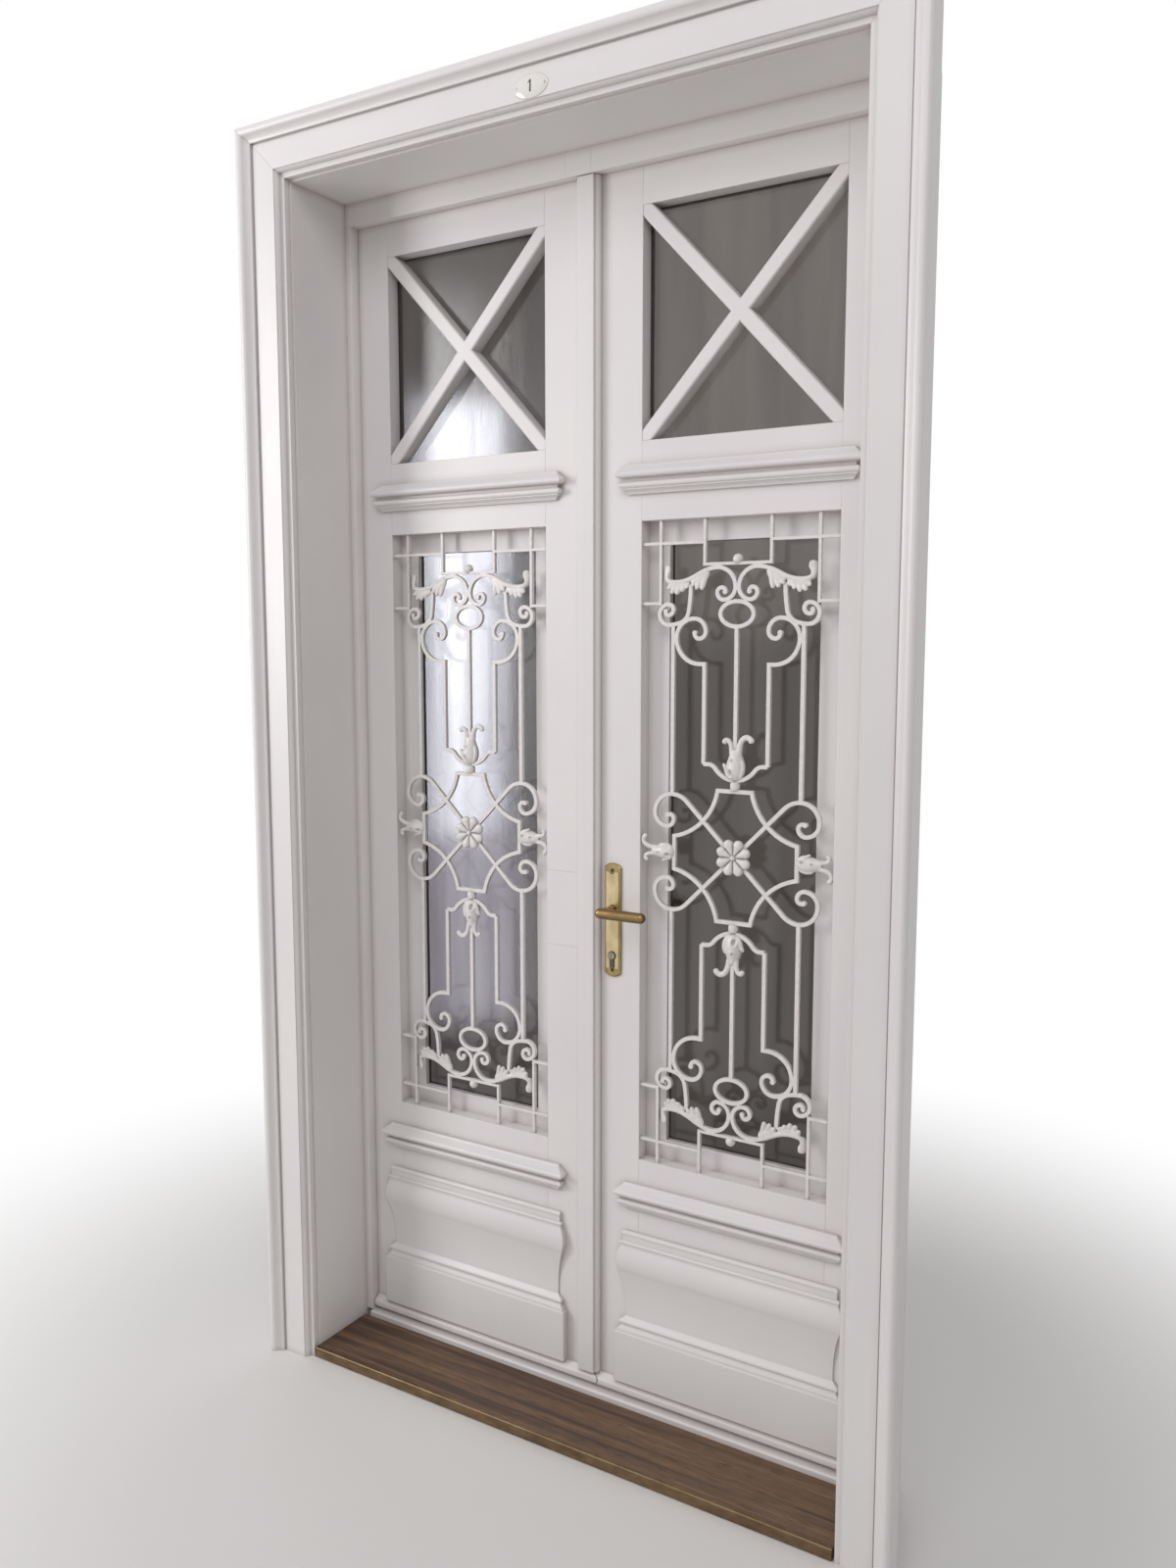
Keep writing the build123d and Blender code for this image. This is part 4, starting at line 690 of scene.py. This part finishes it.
def place_camera():
    """The eye from which the doors are seen, with no lens shift."""
    data = bpy.data.cameras.new("camera")
    data.lens = LENS_MM
    data.sensor_width = SENSOR_MM
    data.sensor_fit = "AUTO"
    camera = bpy.data.objects.new("camera", data)
    camera.location = EYE
    camera.rotation_euler = Euler((math.pi / 2 - TILT_DOWN, 0.0, TURN_LEFT))
    bpy.context.scene.collection.objects.link(camera)
    bpy.context.scene.camera = camera


def soft_light(name, place, target, width, height, watts, colour, through_panes=False):
    """A large rectangular lamp aimed at a point; through_panes shows it through glass
    alone."""
    data = bpy.data.lights.new(name, "AREA")
    data.shape = "RECTANGLE"
    data.size, data.size_y = width, height
    data.energy = watts
    data.color = linear(colour)[:3]
    lamp = bpy.data.objects.new(name, data)
    lamp.location = place
    aim = np.array(target) - np.array(place)
    yaw = math.atan2(-aim[0], aim[1])
    tilt = math.atan2(aim[2], math.hypot(aim[0], aim[1]))
    lamp.rotation_euler = Euler((math.pi / 2 + tilt, 0.0, yaw))
    lamp.visible_camera = False
    lamp.visible_diffuse = lamp.visible_glossy = not through_panes
    bpy.context.scene.collection.objects.link(lamp)


def background_seen(tree):
    """1 for rays from the camera, from gloss and through glass, else 0."""
    rays = ("Is Camera Ray", "Is Glossy Ray", "Is Transmission Ray")
    seen = [add(tree, "LightPath", out=ray) for ray in rays]
    first = add(tree, "Math", {0: seen[0], 1: seen[1]}, operation="MAXIMUM")
    return add(tree, "Math", {0: first, 1: seen[2]}, operation="MAXIMUM")


def studio_world():
    """Even soft light; the camera, gloss and glass see plain white."""
    world = bpy.data.worlds.new("studio")
    bpy.context.scene.world = world
    world.use_nodes = True
    tree = world.node_tree
    tree.nodes.clear()
    light = add(tree, "Background", {"Color": "#f6f5f6", "Strength": 0.46})
    plain = add(tree, "Background", {"Color": "#ffffff", "Strength": 1.0})
    both = add(tree, "MixShader", {0: background_seen(tree), 1: light, 2: plain})
    add(tree, "OutputWorld", {"Surface": both})


def studio_floor():
    """A wide pale floor that keeps the doors' soft shadow near them and runs out to plain
    white where the background is seen."""
    reach, fade_from, fade_to = 9.0, 0.9, 2.4
    mesh = bpy.data.meshes.new("studio_floor")
    corners = [(-reach, -reach, 0), (reach, -reach, 0), (reach, reach, 0), (-reach, reach, 0)]
    mesh.from_pydata(corners, [], [(0, 1, 2, 3)])
    floor = bpy.data.objects.new("studio_floor", mesh)
    bpy.context.scene.collection.objects.link(floor)
    material, tree, place = new_material("pale_studio_floor")
    away = add(tree, "VectorMath", {0: place}, out="Value", operation="LENGTH")
    fade = add(
        tree, "MapRange", {"Value": away, "From Min": fade_from, "From Max": fade_to},
        interpolation_type="SMOOTHSTEP",
    )
    white = add(tree, "Math", {0: fade, 1: background_seen(tree)}, operation="MULTIPLY")
    pale = add(tree, "BsdfPrincipled", {"Base Color": "#e0dedc", "Roughness": 0.6})
    plain = add(tree, "Emission", {"Color": "#ffffff", "Strength": 1.0})
    add(tree, "OutputMaterial", {"Surface": add(tree, "MixShader", {0: white, 1: pale, 2: plain})})
    mesh.materials.append(material)


place_camera()
studio_world()
studio_floor()
# Name, place and aim in metres, width, height, watts, colour, seen through the panes only
soft_light("window_left", (-3.0, -2.5, 2.3), (-0.1, 0.0, 1.2), 1.2, 2.0, 66, "#fdfcfd")
soft_light("sky_front", (1.2, -3.0, 4.6), (0.0, 0.0, 1.2), 2.6, 2.0, 52, "#fdfdff")
soft_light("room_behind", (-0.6, 4.0, 2.8), (0.0, 0.0, 1.2), 3.0, 2.4, 20, "#fdfdff")
soft_light(
    "bright_zone_through_left_panes", (-1.53, 1.6, 1.70), (-0.3, 0.0, 1.5), 0.30, 1.62, 27,
    "#dceaff", True,
)
soft_light(
    "dim_zone_through_left_panes", (-1.50, 1.6, 0.55), (-0.3, 0.0, 1.0), 0.36, 0.7, 5.0,
    "#d8e0fb", True,
)

bpy.context.scene.view_settings.view_transform = "Standard"
